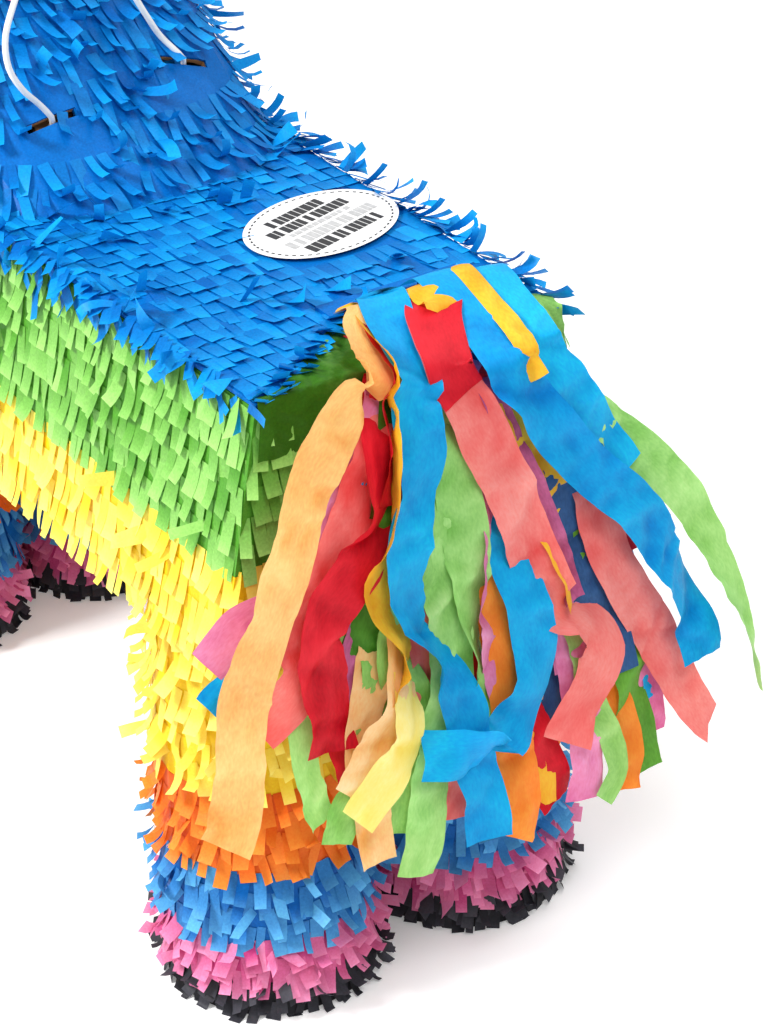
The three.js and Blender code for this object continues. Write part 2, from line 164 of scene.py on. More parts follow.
def mixed(tree, factor, first, second, blend="MIX"):
    mix = node(tree, "ShaderNodeMix", data_type="RGBA", blend_type=blend)
    for socket, value in ((mix.inputs[0], factor), (mix.inputs[6], first), (mix.inputs[7], second)):
        if isinstance(value, bpy.types.NodeSocket):
            tree.links.new(value, socket)
        else:
            socket.default_value = value
    return mix.outputs[2]


def new_material(name):
    made = bpy.data.materials.new(name)
    made.use_nodes = True
    made.node_tree.nodes.clear()
    return made


def relief_on(tree, height, strength, distance):
    relief = node(tree, "ShaderNodeBump")
    relief.inputs["Strength"].default_value = strength
    relief.inputs["Distance"].default_value = distance
    tree.links.new(height, relief.inputs["Height"])
    return relief.outputs["Normal"]


FLECKS, BLOTCHES, CRINKLES = 900, 45, 210  # the scales of the paper's three patterns


def paper(name, deep, light, fibre=(1, 1, 1), by_uv=False, light_through=0.2, bump=0.6):
    """Tissue paper: deep to light by tone, flecked with fibres, a little light coming through."""
    made = new_material(name)
    tree = made.node_tree
    out = node(tree, "ShaderNodeOutputMaterial")
    surface = node(tree, "ShaderNodeBsdfPrincipled")
    surface.inputs["Roughness"].default_value = 0.42
    surface.inputs["Specular IOR Level"].default_value = 0.12
    where = node(tree, "ShaderNodeTexCoord").outputs["UV" if by_uv else "Object"]
    tone = node(tree, "ShaderNodeAttribute", attribute_name="tone").outputs["Fac"]
    base = mixed(tree, tone, deep + (1,), light + (1,))
    flecked = mixed(tree, 0.3, base, noise_on(tree, where, FLECKS, 2, fibre), "OVERLAY")
    blotched = mixed(tree, 0.1, flecked, noise_on(tree, where, BLOTCHES, 3), "OVERLAY")
    tree.links.new(blotched, surface.inputs["Base Color"])
    relief = relief_on(tree, noise_on(tree, where, CRINKLES, 4, fibre), bump, 0.5 * MM)
    tree.links.new(relief, surface.inputs["Normal"])
    through = node(tree, "ShaderNodeBsdfTranslucent")
    tree.links.new(blotched, through.inputs["Color"])
    tree.links.new(relief, through.inputs["Normal"])
    blend = node(tree, "ShaderNodeMixShader")
    blend.inputs[0].default_value = light_through
    tree.links.new(surface.outputs[0], blend.inputs[1])
    tree.links.new(through.outputs[0], blend.inputs[2])
    tree.links.new(blend.outputs[0], out.inputs["Surface"])
    return made


# Each tissue as its deep and its light colour, between which tone moves at random and as painted shade and
# light.
TISSUE = {
    "blue": ((0.001, 0.12, 0.44), (0.006, 0.36, 0.82)),
    "green": ((0.09, 0.33, 0.03), (0.38, 0.74, 0.19)),
    "yellow": ((0.90, 0.60, 0.012), (1.0, 0.92, 0.22)),
    "orange": ((0.80, 0.12, 0.008), (1.0, 0.34, 0.05)),
    "sky": ((0.002, 0.12, 0.45), (0.12, 0.47, 0.83)),
    "pink": ((0.56, 0.045, 0.20), (0.96, 0.33, 0.56)),
    "black": ((0.010, 0.010, 0.013), (0.07, 0.07, 0.085)),
}
tab_paper = {name: paper(f"tissue_{name}", *pair) for name, pair in TISSUE.items()}
smooth_blue = paper("smooth_blue", (0.001, 0.15, 0.52), (0.006, 0.25, 0.68), bump=1.0)

# %% [markdown]
# Board is brown and slightly streaked along its flutes. The cord, the label and the eyes are smoother: a
# plain Principled shader with a faint, broad change of roughness is enough for them.

# %% Board, tube, cord and label materials
def plain(name, colour, roughness, streak, contrast, scale, bump, glow=0.0):
    made = new_material(name)
    tree = made.node_tree
    out = node(tree, "ShaderNodeOutputMaterial")
    surface = node(tree, "ShaderNodeBsdfPrincipled")
    surface.inputs["Emission Color"].default_value = colour + (1,)
    surface.inputs["Emission Strength"].default_value = glow
    where = node(tree, "ShaderNodeTexCoord").outputs["Object"]
    grain = noise_on(tree, where, scale, 4, streak)
    tree.links.new(mixed(tree, contrast, colour + (1,), grain, "OVERLAY"), surface.inputs["Base Color"])
    rough = node(tree, "ShaderNodeMapRange")
    rough.inputs["To Min"].default_value = roughness - 0.08
    rough.inputs["To Max"].default_value = roughness + 0.08
    tree.links.new(grain, rough.inputs["Value"])
    tree.links.new(rough.outputs[0], surface.inputs["Roughness"])
    tree.links.new(relief_on(tree, grain, bump, 0.3 * MM), surface.inputs["Normal"])
    tree.links.new(surface.outputs[0], out.inputs["Surface"])
    return made


EVEN = (1, 1, 1)
# name, colour, roughness, streak, contrast and scale of the grain, bump
board = plain("brown_board", (0.46, 0.235, 0.10), 0.8, (1, 8, 1), 0.35, 90, 0.3)
rolled_paper = plain("rolled_paper", (0.52, 0.30, 0.14), 0.8, (1, 1, 10), 0.3, 80, 0.2)
cord_plastic = plain("cord_plastic", (0.78, 0.78, 0.76), 0.35, EVEN, 0.05, 300, 0.05)
coated_paper = plain("coated_paper", (0.74, 0.74, 0.735), 0.45, EVEN, 0.05, 200, 0.05)
print_ink = plain("print_ink", (0.02, 0.02, 0.022), 0.45, EVEN, 0.2, 500, 0.05)

# %% [markdown]
# ## The cord
# A loop of white plastic cord comes out of a slot on each side of the neck's back. It is stiff, so it stands
# up by itself in one tall bend. Inside the neck each end passes a board and ends in a knot.

# %% Cord
CORD_DIAMETER = 3.0
CORD_LEFT_END = [(33.6, -30.4, 337.1), (34.3, -26.5, 342.0), (35.2, -21.4, 348.6)]
CORD_RIGHT_END = [(-43.4, -32.5, 356.5), (-41.8, -38.0, 350.3), (-40.6, -42.1, 345.7)]
CORD_LOOP = [
    (41, -22, 357), (50, -20, 367), (56, -20, 379), (56, -21, 393), (50, -23, 406), (42, -26, 418),
    (34, -29, 429), (25, -32, 438), (16, -34, 442), (7, -35, 441), (0, -36, 434), (-6, -37, 423),
    (-12, -37, 410), (-19, -36, 395), (-27, -36, 380), (-34, -37, 369),
]
CORD_STEP = 4 * MM
SPLITS = 16  # short steps between two given points


def smooth_path(points, step):
    """Even points along a smooth line through all the given ones."""
    points = [Vector(p) for p in points]
    ends = [points[0] * 2 - points[1]] + points + [points[-1] * 2 - points[-2]]
    fine = []
    for a, b, c, d in zip(ends, ends[1:], ends[2:], ends[3:]):
        for i in range(SPLITS):
            t = i / SPLITS
            fine.append(
                0.5
                * (2 * b + (c - a) * t + (2 * a - 5 * b + 4 * c - d) * t**2 + (3 * b - a - 3 * c + d) * t**3)
            )
    fine.append(points[-1])
    fine = np.array(fine)
    run = np.r_[0, np.cumsum(np.linalg.norm(np.diff(fine, axis=0), axis=1))]
    count = max(2, round(run[-1] / step)) + 1
    even = np.linspace(0, run[-1], count)
    return np.stack([np.interp(even, run, fine[:, k]) for k in range(3)], 1), run[-1]


route = [place(*p) for p in CORD_LEFT_END + CORD_LOOP + CORD_RIGHT_END]
cord_points, cord_length = smooth_path(route, CORD_STEP)
cord_curve = bpy.data.curves.new("hanging_cord_loop", "CURVE")
cord_curve.dimensions = "3D"
cord_curve.bevel_depth = CORD_DIAMETER / 2 * MM
cord_curve.bevel_resolution = 4
cord_curve.use_fill_caps = True
spline = cord_curve.splines.new("POLY")
spline.points.add(len(cord_points) - 1)
for point, where in zip(spline.points, cord_points):
    point.co = (*where, 1)
cord = linked("hanging_cord_loop", cord_curve)
cord_curve.materials.append(cord_plastic)
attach(cord, "pinata")
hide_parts("hanging_cord")
print("the cord is", round(cord_length, 3), "m long")

# %% [markdown]
# ## Feeling for the surface
# The tabs are glued to the wraps, so each row needs points on a wrap and the way the wrap faces there. A
# ray cast from outside finds both. It is the same as touching the donkey with a finger.

# %% Touch
def skin_tree(*names):
    vertices = []
    faces = []
    for name in names:
        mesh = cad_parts[name].data
        start = len(vertices)
        vertices.extend(v.co.copy() for v in mesh.vertices)
        faces.extend([start + i for i in polygon.vertices] for polygon in mesh.polygons)
    return BVHTree.FromPolygons(vertices, faces)


def touch(tree, origins, directions):
    """The points and outward normals where rays meet a skin; rays that miss are left out."""
    points = []
    normals = []
    for origin, direction in zip(origins, directions):
        point, normal, _, _ = tree.ray_cast(Vector(origin), Vector(direction), 2)
        if point is not None:
            points.append(point)
            normals.append(normal if normal.dot(Vector(direction)) < 0 else -normal)
    return np.array(points), np.array(normals)


def unit(vectors):
    return vectors / np.maximum(np.linalg.norm(vectors, axis=-1, keepdims=True), 1e-9)


def along_skin(directions, normals):
    """The directions laid down onto the skin."""
    return unit(directions - (directions * normals).sum(1, keepdims=True) * normals)


# %% [markdown]
# ## One tab
# A tab is a short strip of tissue, cut on three sides. It is modelled once as a flat grid with a few cuts
# across, so that it can bend. Every other tab is a copy with its own size, lift, curl and turn.

# %% One tab
TAB_CUTS = 5
clean_slate()
bpy.ops.mesh.primitive_grid_add(x_subdivisions=1, y_subdivisions=TAB_CUTS, size=1, location=(0, 0.5, 0))
bpy.ops.object.transform_apply(location=True)
flat_tab = bpy.context.object
tab_shape = np.array([v.co[:] for v in flat_tab.data.vertices])
tab_faces = np.array([p.vertices[:] for p in flat_tab.data.polygons])
bpy.ops.object.delete()
print("a tab has", len(tab_shape), "corners and", len(tab_faces), "faces")

# %% [markdown]
# ## Rows of tabs
# A row is one strip of tissue, glued along its top edge and slit into tabs. The slits are never evenly
# spaced, and each tab lifts and curls in its own way. A few stray ones stand out and turn aside.

# %% Cut a row
class Tabs:
    """Where tabs are glued, which way they hang and face, and how wide they are."""

    def __init__(self):
        self.parts = []

    def add_row(self, points, normals, hang, width, rng, closed=False):
        points = np.array(points, float)
        normals = np.broadcast_to(np.array(normals, float), points.shape)
        if closed:
            points = np.vstack([points, points[:1]])
            normals = np.vstack([normals, normals[:1]])
        hang = np.broadcast_to(np.array(hang, float), points.shape)
        run = np.r_[0, np.cumsum(np.linalg.norm(np.diff(points, axis=0), axis=1))]
        slits = np.cumsum(width * rng.uniform(0.65, 1.35, int(run[-1] / width * 1.7) + 2))
        slits = np.r_[0, slits[slits < run[-1]]]
        widths = np.diff(slits)
        middles = slits[:-1] + widths / 2
        table = np.hstack([points, normals, hang])
        at = np.stack([np.interp(middles, run, column) for column in table.T], 1)
        normal = unit(at[:, 3:6])
        self.parts.append((at[:, :3], normal, along_skin(at[:, 6:], normal), widths))

    def add_touched(self, skin, origins, direction, hang, width, rng):
        """A row where parallel rays meet a skin, unless too few do."""
        points, normals = touch(skin, origins, [direction] * len(origins))
        if len(points) > 3:
            self.add_row(points, normals, hang, width, rng)

    def all(self):
        return [np.concatenate([part[k] for part in self.parts]) for k in range(4)]


# %% [markdown]
# The tabs of a fringe are copies of the flat tab in one mesh. Each corner's place is worked out from the
# tab's own lift, curl and twist, for all the tabs at once, because thousands of separate objects would be
# slow. The tone rises towards the tip, a painted light where the tips catch it.

# %% Bend and copy the tabs
CURL_POWER = 1.6  # above 1, a tab curls most towards its tip
FLOOR_GAP = 0.4 * MM
STRAY_YAW, STRAY_TWIST = 40, 35
STRAY_LIFT = (10, 55)


def fringe(name, tabs, colour, look, rng, keep=None, calm=None, material=None):
    """One piece made of bent copies of the flat tab.

    keep says which tabs stay, and calm which ones never stray.
    """
    base, normal, hang, width = tabs.all()
    if keep is not None:
        chosen = keep(base, hang)
        base, normal, hang, width = base[chosen], normal[chosen], hang[chosen], width[chosen]
    count = len(base)
    stray = rng.random(count) < look["stray"]
    if calm is not None:
        stray &= ~calm(base)
    even = look.get("even", 0.16)
    length = look["length"] * MM * rng.uniform(1 - even, 1 + even, count)
    yaw = np.radians(rng.normal(0, look["yaw"], count) + stray * rng.normal(0, STRAY_YAW, count))
    spread = look.get("lift_spread", look["lift"] * 0.6)
    lift = np.radians(np.abs(rng.normal(look["lift"], spread, count)) + stray * rng.uniform(*STRAY_LIFT, count))
    curl = np.radians(rng.normal(look["curl"], look["curl_spread"], count))
    twist = np.radians(rng.normal(0, look["twist"], count) + stray * rng.normal(0, STRAY_TWIST, count))
    across = unit(np.cross(hang, normal))
    ahead = hang * np.cos(yaw)[:, None] + across * np.sin(yaw)[:, None]
    across = across * np.cos(yaw)[:, None] - hang * np.sin(yaw)[:, None]

    down = np.linspace(0, 1, TAB_CUTS + 1)
    middle = (down[1:] + down[:-1]) / 2
    angle = lift[:, None] + curl[:, None] * middle**CURL_POWER
    step = (length / TAB_CUTS)[:, None]
    far = np.c_[np.zeros(count), np.cumsum(np.cos(angle) * step, 1)]
    high = np.c_[np.zeros(count), np.cumsum(np.sin(angle) * step, 1)]
    high = np.maximum(high, 0) + rng.uniform(0.2, 0.4, count)[:, None] * MM

    row = np.rint(tab_shape[:, 1] * TAB_CUTS).astype(int)
    side = tab_shape[:, 0]
    slope = lift[:, None] + curl[:, None] * down**CURL_POWER
    turn = twist[:, None] * down
    facing = -np.sin(slope)[..., None] * ahead[:, None] + np.cos(slope)[..., None] * normal[:, None]
    sideways = np.cos(turn)[..., None] * across[:, None] + np.sin(turn)[..., None] * facing
    centre = base[:, None] + far[..., None] * ahead[:, None] + high[..., None] * normal[:, None]
    half = (width * look.get("slit", 0.95) * rng.uniform(0.9, 1.06, count))[:, None, None]
    corners = centre[:, row] + sideways[:, row] * side[None, :, None] * half
    corners[..., 2] = np.maximum(corners[..., 2], FLOOR_GAP)
    drop = tab_shape[:, 1]
    # tone: random per tab, plus painted shade at each tab's root, painted light towards its tip and on the
    # stray tabs
    tone = rng.normal(0.4, 0.17, count)[:, None] + 0.5 * (drop[None] ** 3 - 0.25) + stray[:, None] * 0.3
    material = material or tab_paper[colour]
    tone = np.clip(tone, 0, 1).ravel()
    return sheet_mesh(name, corners.reshape(-1, 3), tab_copies(count), tone, material)


def tab_copies(count):
    starts = np.arange(count)[:, None, None] * len(tab_shape)
    return (starts + tab_faces[None]).reshape(-1, 4)


def sheet_mesh(name, corners, faces, tone, material):
    mesh = bpy.data.meshes.new(name)
    mesh.from_pydata(corners.tolist(), [], faces.tolist())
    mesh.attributes.new("tone", "FLOAT", "POINT").data.foreach_set("value", tone.astype(np.float32))
    mesh.polygons.foreach_set("use_smooth", np.ones(len(mesh.polygons), bool))
    mesh.materials.append(material)
    piece = linked(name, mesh)
    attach(piece, "pinata")
    return piece


# %% [markdown]
# ## The legs
# Each leg is a rolled paper tube with five bands of colour. The rows go round it from the floor upwards, so
# that each hangs over the one below, and the tabs stand out more than anywhere else on the donkey.

# %% Leg bands
LEG_ROWS = {
    "black": {"rows": (8, 14, 19), "length": 11, "paper": "black"},
    "pink": {"rows": (24, 31, 37, 42), "length": 14, "paper": "pink"},
    "blue": {"rows": (49, 58, 67, 78), "length": 15, "paper": "sky"},
    "orange": {"rows": (88, 98, 108, 119), "length": 15, "paper": "orange"},
    "yellow": {"rows": (130, 142, 154, 166, 178, 190, 201), "length": 16, "paper": "yellow"},
}
LEG_LOOK = {"lift": 11, "curl": 20, "curl_spread": 38, "yaw": 10, "twist": 14, "stray": 0.09}
LEG_TAB_WIDTH = 6.2 * MM
RING_POINTS = 72
LEG_TOP = 199
ring_angles = np.linspace(0, 2 * math.pi, RING_POINTS, endpoint=False)


def leg_ring(leg, height):
    """The outside of one leg's wrap at a height."""
    low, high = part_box(f"{leg}_leg_tube")
    centre = np.array([(low.x + high.x) / 2, (low.y + high.y) / 2, height * MM])
    outwards = np.stack([np.cos(ring_angles), np.sin(ring_angles), np.zeros(RING_POINTS)], 1)
    return touch(leg_skin[leg], centre + outwards * 0.2, -outwards)


LEGS = ("front_left", "front_right", "rear_left", "rear_right")
leg_skin = {leg: skin_tree(*(f"{leg}_leg_{band}" for band in LEG_ROWS)) for leg in LEGS}
for number, leg in enumerate(LEGS):
    for order, (band, facts) in enumerate(LEG_ROWS.items()):
        rng = np.random.default_rng(100 + number * 10 + order)
        tabs = Tabs()
        for height in facts["rows"]:
            points, normals = leg_ring(leg, min(height, LEG_TOP))
            points[:, 2] = height * MM
            tabs.add_row(points, normals, (0, 0, -1), LEG_TAB_WIDTH, rng, closed=True)
        look = dict(LEG_LOOK, length=facts["length"])
        fringe(f"{leg}_fringe_{band}", tabs, band, look, rng, material=tab_paper[facts["paper"]])
print("leg fringe done")

# %% [markdown]
# ## The flanks, the rump and the chest
# Rows run right round the body and hang straight down, closely layered, so that mostly the slits between
# the tabs show. The wrap turns each corner of the box in a small curve.

# %% Body rows
CORNER = 5 * MM
FLANK_LOOK = {
    "length": 17, "even": 0.06, "lift": 5, "lift_spread": 2, "curl": 8, "curl_spread": 14, "yaw": 4,
    "twist": 7, "stray": 0.03,
}
FLANK_ROWS = {"yellow": (206, 217, 229, 242), "green": (253, 266, 279, 292, 304, 314)}
FLANK_TOP = 313
FLANK_TAB_WIDTH = 7 * MM
body_skin = skin_tree("body_tissue_green", "body_tissue_yellow")


def body_ring(height):
    """A line round the body's wrap, with rounded corners."""
    reach = {}
    for end in (-1, 1):
        hits = [touch(body_skin, [place(x, end * 205, height)], [(-x, 0, 0)])[0][0] for x in (200, -200)]
        reach[end] = sum(abs(hit[0] - BODY_MIDDLE.x) for hit in hits) / 2
    front, rear = reach[-1], reach[1]
    y_front = touch(body_skin, [place(0, -400, height)], [(0, 1, 0)])[0][0][1]
    y_rear = touch(body_skin, [place(0, 400, height)], [(0, -1, 0)])[0][0][1]
    corners = [(front, y_front), (rear, y_rear), (-rear, y_rear), (-front, y_front)]
    starts = [-90, 0, 90, 180]
    points = []
    normals = []
    for (x, y), start in zip(corners, starts):
        inner = (x - math.copysign(CORNER, x), y - math.copysign(CORNER, y - BODY_MIDDLE.y))
        for angle in np.radians(np.linspace(start, start + 90, 7)):
            out = np.array([math.cos(angle), math.sin(angle)])
            points.append((BODY_MIDDLE.x + inner[0] + out[0] * CORNER, inner[1] + out[1] * CORNER, height * MM))
            normals.append((out[0], out[1], 0.12))
    return np.array(points), unit(np.array(normals))


for order, (band, rows) in enumerate(FLANK_ROWS.items()):
    rng = np.random.default_rng(300 + order)
    tabs = Tabs()
    for height in rows:
        points, normals = body_ring(min(height, FLANK_TOP))
        points[:, 2] = height * MM
        tabs.add_row(points, normals, (0, 0, -1), FLANK_TAB_WIDTH, rng, closed=True)
    fringe(f"body_fringe_{band}", tabs, band, FLANK_LOOK, rng)
print("body fringe done")

# %% [markdown]
# ## The back
# On the back the tabs lie flat and point at the tail, like bricks. They keep clear of the label, and the
# last ones on each side lean over the edge of the flank.

# %% Back rows
BACK_LOOK = {
    "length": 17, "even": 0.06, "lift": 3.0, "lift_spread": 0.8, "curl": -1, "curl_spread": 5, "yaw": 5,
    "twist": 4, "stray": 0.055,
}
BACK_PITCH = 11.5
BACK_END = 222
BACK_TAB_WIDTH = 6.6 * MM
NECK_FOOT = -12
STICKER_HALF = (42 * MM, 30.5 * MM)
STICKER_TURN = math.radians(17)
STICKER_MIDDLE = place(-38.5, 95, 318.8)
back_skin = skin_tree("back_tissue")


def in_label(points, margin):
    x = points[:, 0] - STICKER_MIDDLE.x
    y = points[:, 1] - STICKER_MIDDLE.y
    cos, sin = math.cos(STICKER_TURN), math.sin(STICKER_TURN)
    u = (x * cos + y * sin) / (STICKER_HALF[0] + margin)
    v = (y * cos - x * sin) / (STICKER_HALF[1] + margin)
    return u**2 + v**2 < 1


def clear_of_label(base, hang):
    keep = np.ones(len(base), bool)
    for share, margin in ((0, -1.5), (0.5, -3), (1.1, -5)):
        keep &= ~in_label(base + hang * BACK_LOOK["length"] * MM * share, margin * MM)
    across = (base[:, 0] - BODY_MIDDLE.x) / MM
    along = (base[:, 1] - BODY_MIDDLE.y) / MM
    return keep & (along + 11 < blue_end(across))


def beside_label(base):
    return in_label(base, 14.5 * MM)


def blue_end(x):
    """How far back the blue reaches: to the edge in the corners, and less far by the tail."""
    return np.interp(x, (-82, -70, -60, -20, 5, 19, 40, 64), (222, 205, 190, 180, 181, 190, 205, 223))


def back_half(y):
    """Half the back's width, which narrows towards the tail."""
    return np.interp(y, (-BACK_END, BACK_END), (87, 75.5))


def overhang(y):
    """How far the blue hangs over the flanks: more towards the neck."""
    return 6 + 15 * np.clip((BACK_END - y) / 300, 0, 1)


rng = np.random.default_rng(400)
tabs = Tabs()
side_tabs = Tabs()
for y in np.arange(-205, BACK_END, BACK_PITCH):
    half = back_half(y) + 1.8
    if y < NECK_FOOT:  # only beside the neck
        for side in (1, -1):
            flat = [place(side * x, y, 317.2) for x in np.linspace(half - 1, 48, 12)]
            tabs.add_row(flat, (0, 0, 1), (0, 1, 0), BACK_TAB_WIDTH, rng)
    else:
        above = [place(x, y, 400) for x in np.linspace(half - 1, 1 - half, 90)]
        tabs.add_touched(back_skin, above, (0, 0, -1), (0, 1, 0), BACK_TAB_WIDTH, rng)
    for side in (1, -1):
        drops = np.linspace(0, overhang(y) + rng.uniform(-2, 3), 8)
        rims = [place(side * (half + 0.4 + 0.17 * drop), y, 317.2 - drop) for drop in drops]
        side_tabs.add_row(rims, (side, 0, 0.3), (0, 1, -0.45), 5.4 * MM, rng)
fringe("back_fringe", tabs, "blue", BACK_LOOK, rng, clear_of_label, beside_label)
print("back fringe done")

# %% [markdown]
# The edges of the back are rougher. Tabs fold over them all round, a few single ones stand out against the
# light, and two ruffled rows finish the blue where it ends by the tail.

# %% Edge rows
EDGE_LOOK = {"length": 15, "lift": 6, "curl": 4, "curl_spread": 16, "yaw": 12, "twist": 12, "stray": 0.08}
for side in (1, -1):
    spots = np.arange(-218, 214, 6)
    rims = [place(side * (back_half(y) + 0.3), y, 317.9) for y in spots]
    side_tabs.add_row(rims, (side * 0.5, 0, 1), (side * 0.8, 1, -0.7), 6.4 * MM, rng)
for height, ahead in ((317.5, 222), (313, 224.6), (309, 224.6)):
    rims = [place(x, -ahead, height) for x in np.linspace(88, -88, 40)]
    side_tabs.add_row(rims, (0, -1, 0.4), (0, -0.2, -1), 6.2 * MM, rng)
fringe("edge_fringe", side_tabs, "blue", EDGE_LOOK, rng)
tabs = Tabs()
for side, first, step in ((-1, -60, 7), (-1, -30, 11), (1, -200, 26)):
    for y in np.arange(first, 214, step):
        spot = place(side * (back_half(y) + 0.5), y + rng.uniform(-3, 3), 317.6)
        ends = [spot, spot + Vector((0, 7 * MM, 0))]
        hang = (side * rng.uniform(0.3, 1), rng.uniform(0.2, 1), 0)
        tabs.add_row(ends, (side * 0.6, 0, 1), hang, 6 * MM, rng)
STRAY_LOOK = {
    "length": 16, "lift": 22, "lift_spread": 16, "curl": 25, "curl_spread": 50, "yaw": 20, "twist": 30,
    "stray": 0.2,
}
fringe("edge_strays", tabs, "blue", STRAY_LOOK, rng)
END_LOOK = {"length": 11, "lift": 12, "curl": 30, "curl_spread": 25, "yaw": 14, "twist": 14, "stray": 0.1}
tabs = Tabs()
for back in (9, 3):
    across = np.linspace(77, -77, 60)
    ends = [place(x, blue_end(x) - back, 318.2 if blue_end(x) < 216 else 317.4) for x in across]
    tabs.add_row(ends, (0, 0.2, 1), (0.1, 1, -0.2), 6.4 * MM, rng)
fringe("back_end_fringe", tabs, "blue", END_LOOK, rng)
print("edge rows done")

# %% [markdown]
# ## The neck
# The neck slopes up from the back. Its rows are wider apart and its tabs longer, and they curl up at the
# tips. Round each cord slot the paper is left smooth.

# %% Neck rows
NECK_LOOK = {
    "length": 19, "slit": 0.8, "lift": 9, "curl": 26, "curl_spread": 45, "yaw": 8, "twist": 12, "stray": 0.08,
}
NECK_TAB_WIDTH = 6.6 * MM
NECK_HEIGHTS = (318, 326, 334, 342, 350, 358.5, 367, 375.5, 384, 392.5, 401, 409, 417)
SLOT_SLOPE = (0.78, -0.62)  # down the neck's back, as shares of y and z
# each slot: x, y, z and its turn in degrees
SLOT_POINTS = ((35, -22.7, 347, 12), (-43, -33.8, 355, -25))
neck_skin = skin_tree("neck_tissue")


def neck_ring(height, count=160):
    low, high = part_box("neck_tissue")
    share = (height * MM - low.z) / (high.z - low.z)
    centre = np.array([BODY_MIDDLE.x, BODY_MIDDLE.y + (-0.095 - 0.06 * share), height * MM])
    angles = np.linspace(0, 2 * math.pi, count, endpoint=False)
    outwards = np.stack([np.cos(angles), np.sin(angles), np.zeros(count)], 1)
    return touch(neck_skin, centre + outwards * 0.4, -outwards)


def near_slot(points, up_slope, down_slope, half_length, slots=SLOT_POINTS):
    """True for the points in a rectangle round a slot, measured along the slot and down the slope."""
    near = np.zeros(len(points), bool)
    for x, y, z, turn in slots:
        gap = (points - np.array(place(x, y, z))) / MM
        angle = math.radians(turn)
        slope = gap[:, 1:] @ np.array(SLOT_SLOPE)
        along = gap[:, 0] * math.cos(angle) - slope * math.sin(angle)
        down = slope * math.cos(angle) + gap[:, 0] * math.sin(angle)
        near |= (np.abs(along) < half_length) & (down > -up_slope) & (down < down_slope)
    return near


def clear_of_slots(base, hang):
    tip = base + hang * NECK_LOOK["length"] * MM * 0.85
    return ~near_slot(base, 3, 15, 27) & ~near_slot(tip, 2, 4, 15, SLOT_POINTS[:1])


rng = np.random.default_rng(500)
tabs = Tabs()
for height in NECK_HEIGHTS:
    points, normals = neck_ring(height)
    tabs.add_row(points, normals, (0, 0.2, -1), NECK_TAB_WIDTH, rng, closed=True)
fringe("neck_fringe", tabs, "blue", NECK_LOOK, rng, clear_of_slots)
print("neck fringe done")

# %% [markdown]
# ## The head, the ears and the mane
# The head is a tapered board box in the same blue. Its rows run round it, with short ones down its flat
# back, and the tabs lie back towards the neck.

# %% Head rows
HEAD_LOOK = {"length": 15, "lift": 8, "curl": 12, "curl_spread": 20, "yaw": 7, "twist": 8, "stray": 0.04}
HEAD_TAB_WIDTH = 6.6 * MM
HEAD_PITCH = math.radians(22)
HEAD_BACK = place(0, -125, 462)
EYE_REACH = 14.5 * MM
head_ahead = Vector((0, -math.cos(HEAD_PITCH), -math.sin(HEAD_PITCH)))
head_up = Vector((0, -math.sin(HEAD_PITCH), math.cos(HEAD_PITCH)))
head_skin = skin_tree("head_tissue")


def head_ring(along, count=96):
    centre = np.array(HEAD_BACK + head_ahead * along * MM)
    angles = np.linspace(0, 2 * math.pi, count, endpoint=False)
    outwards = np.cos(angles)[:, None] * np.array([1, 0, 0]) + np.sin(angles)[:, None] * np.array(head_up)
    return touch(head_skin, centre + outwards * 0.3, -outwards)


def off_eyes(base, hang):
    eyes = np.zeros(len(base), bool)
    for name in ("left_eye", "right_eye"):
        low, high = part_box(name)
        middle = np.array((low + high) / 2)
        for share in (0, 0.5, 1):
            reach = base + hang * HEAD_LOOK["length"] * MM * share
            eyes |= np.linalg.norm(reach - middle, axis=1) < EYE_REACH
    return ~eyes


rng = np.random.default_rng(600)
tabs = Tabs()
for along in np.arange(14, 196, 11):
    points, normals = head_ring(along)
    tabs.add_row(points, normals, -np.array(head_ahead), HEAD_TAB_WIDTH, rng, closed=True)
for rise in range(60, -61, -10):
    behind = head_up * rise - head_ahead * 150
    starts = [HEAD_BACK + (behind + Vector((x, 0, 0))) * MM for x in range(54, -55, -4)]
    points, normals = touch(head_skin, starts, [tuple(head_ahead)] * len(starts))
    if len(points) > 2:
        level = np.abs((points - np.array(starts[0])) @ np.array(head_ahead)) < 0.19
        if level.sum() > 2:
            tabs.add_row(points[level], normals[level], (0, 0, -1), HEAD_TAB_WIDTH, rng)
fringe("head_fringe", tabs, "blue", HEAD_LOOK, rng, off_eyes)
print("head fringe done")

# %% [markdown]
# Each ear has short rows on its front and its back, and the flat end of the muzzle has rows of its own.

# %% Ears and muzzle
EAR_LOOK = {"length": 12, "lift": 8, "curl": 10, "curl_spread": 20, "yaw": 7, "twist": 8, "stray": 0.04}
rng = np.random.default_rng(620)
for name in ("left_ear", "right_ear"):
    low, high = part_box(name)
    ear_skin = skin_tree(name)
    tabs = Tabs()
    for height in np.arange(low.z + 0.012, high.z - 0.003, 0.009):
        for direction in (1, -1):
            xs = np.linspace(low.x, high.x, 24)
            rays = [(x, (low.y + high.y) / 2 - direction * 0.2, height) for x in xs]
            tabs.add_touched(ear_skin, rays, (0, direction, 0), (0, 0, -1), 6 * MM, rng)
    fringe(f"{name}_fringe", tabs, "blue", EAR_LOOK, rng)

muzzle_skin = skin_tree("muzzle_board")
low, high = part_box("muzzle_board")
tabs = Tabs()
for height in np.arange(low.z + 0.008, high.z + 0.004, 0.010):
    rays = [(x, low.y - 0.1, height) for x in np.linspace(low.x + 0.004, high.x - 0.004, 20)]
    tabs.add_touched(muzzle_skin, rays, (0, 1, 0), (0, 0, -1), 6 * MM, rng)
fringe("muzzle_fringe", tabs, "blue", dict(EAR_LOOK, length=14), rng)
print("ears and muzzle done")

# %% [markdown]
# The mane is a strip of pink tissue, folded over a narrow card and cut into a brush. Its rows stand out on
# both sides of the card, and a few more lie on the blue below its foot.

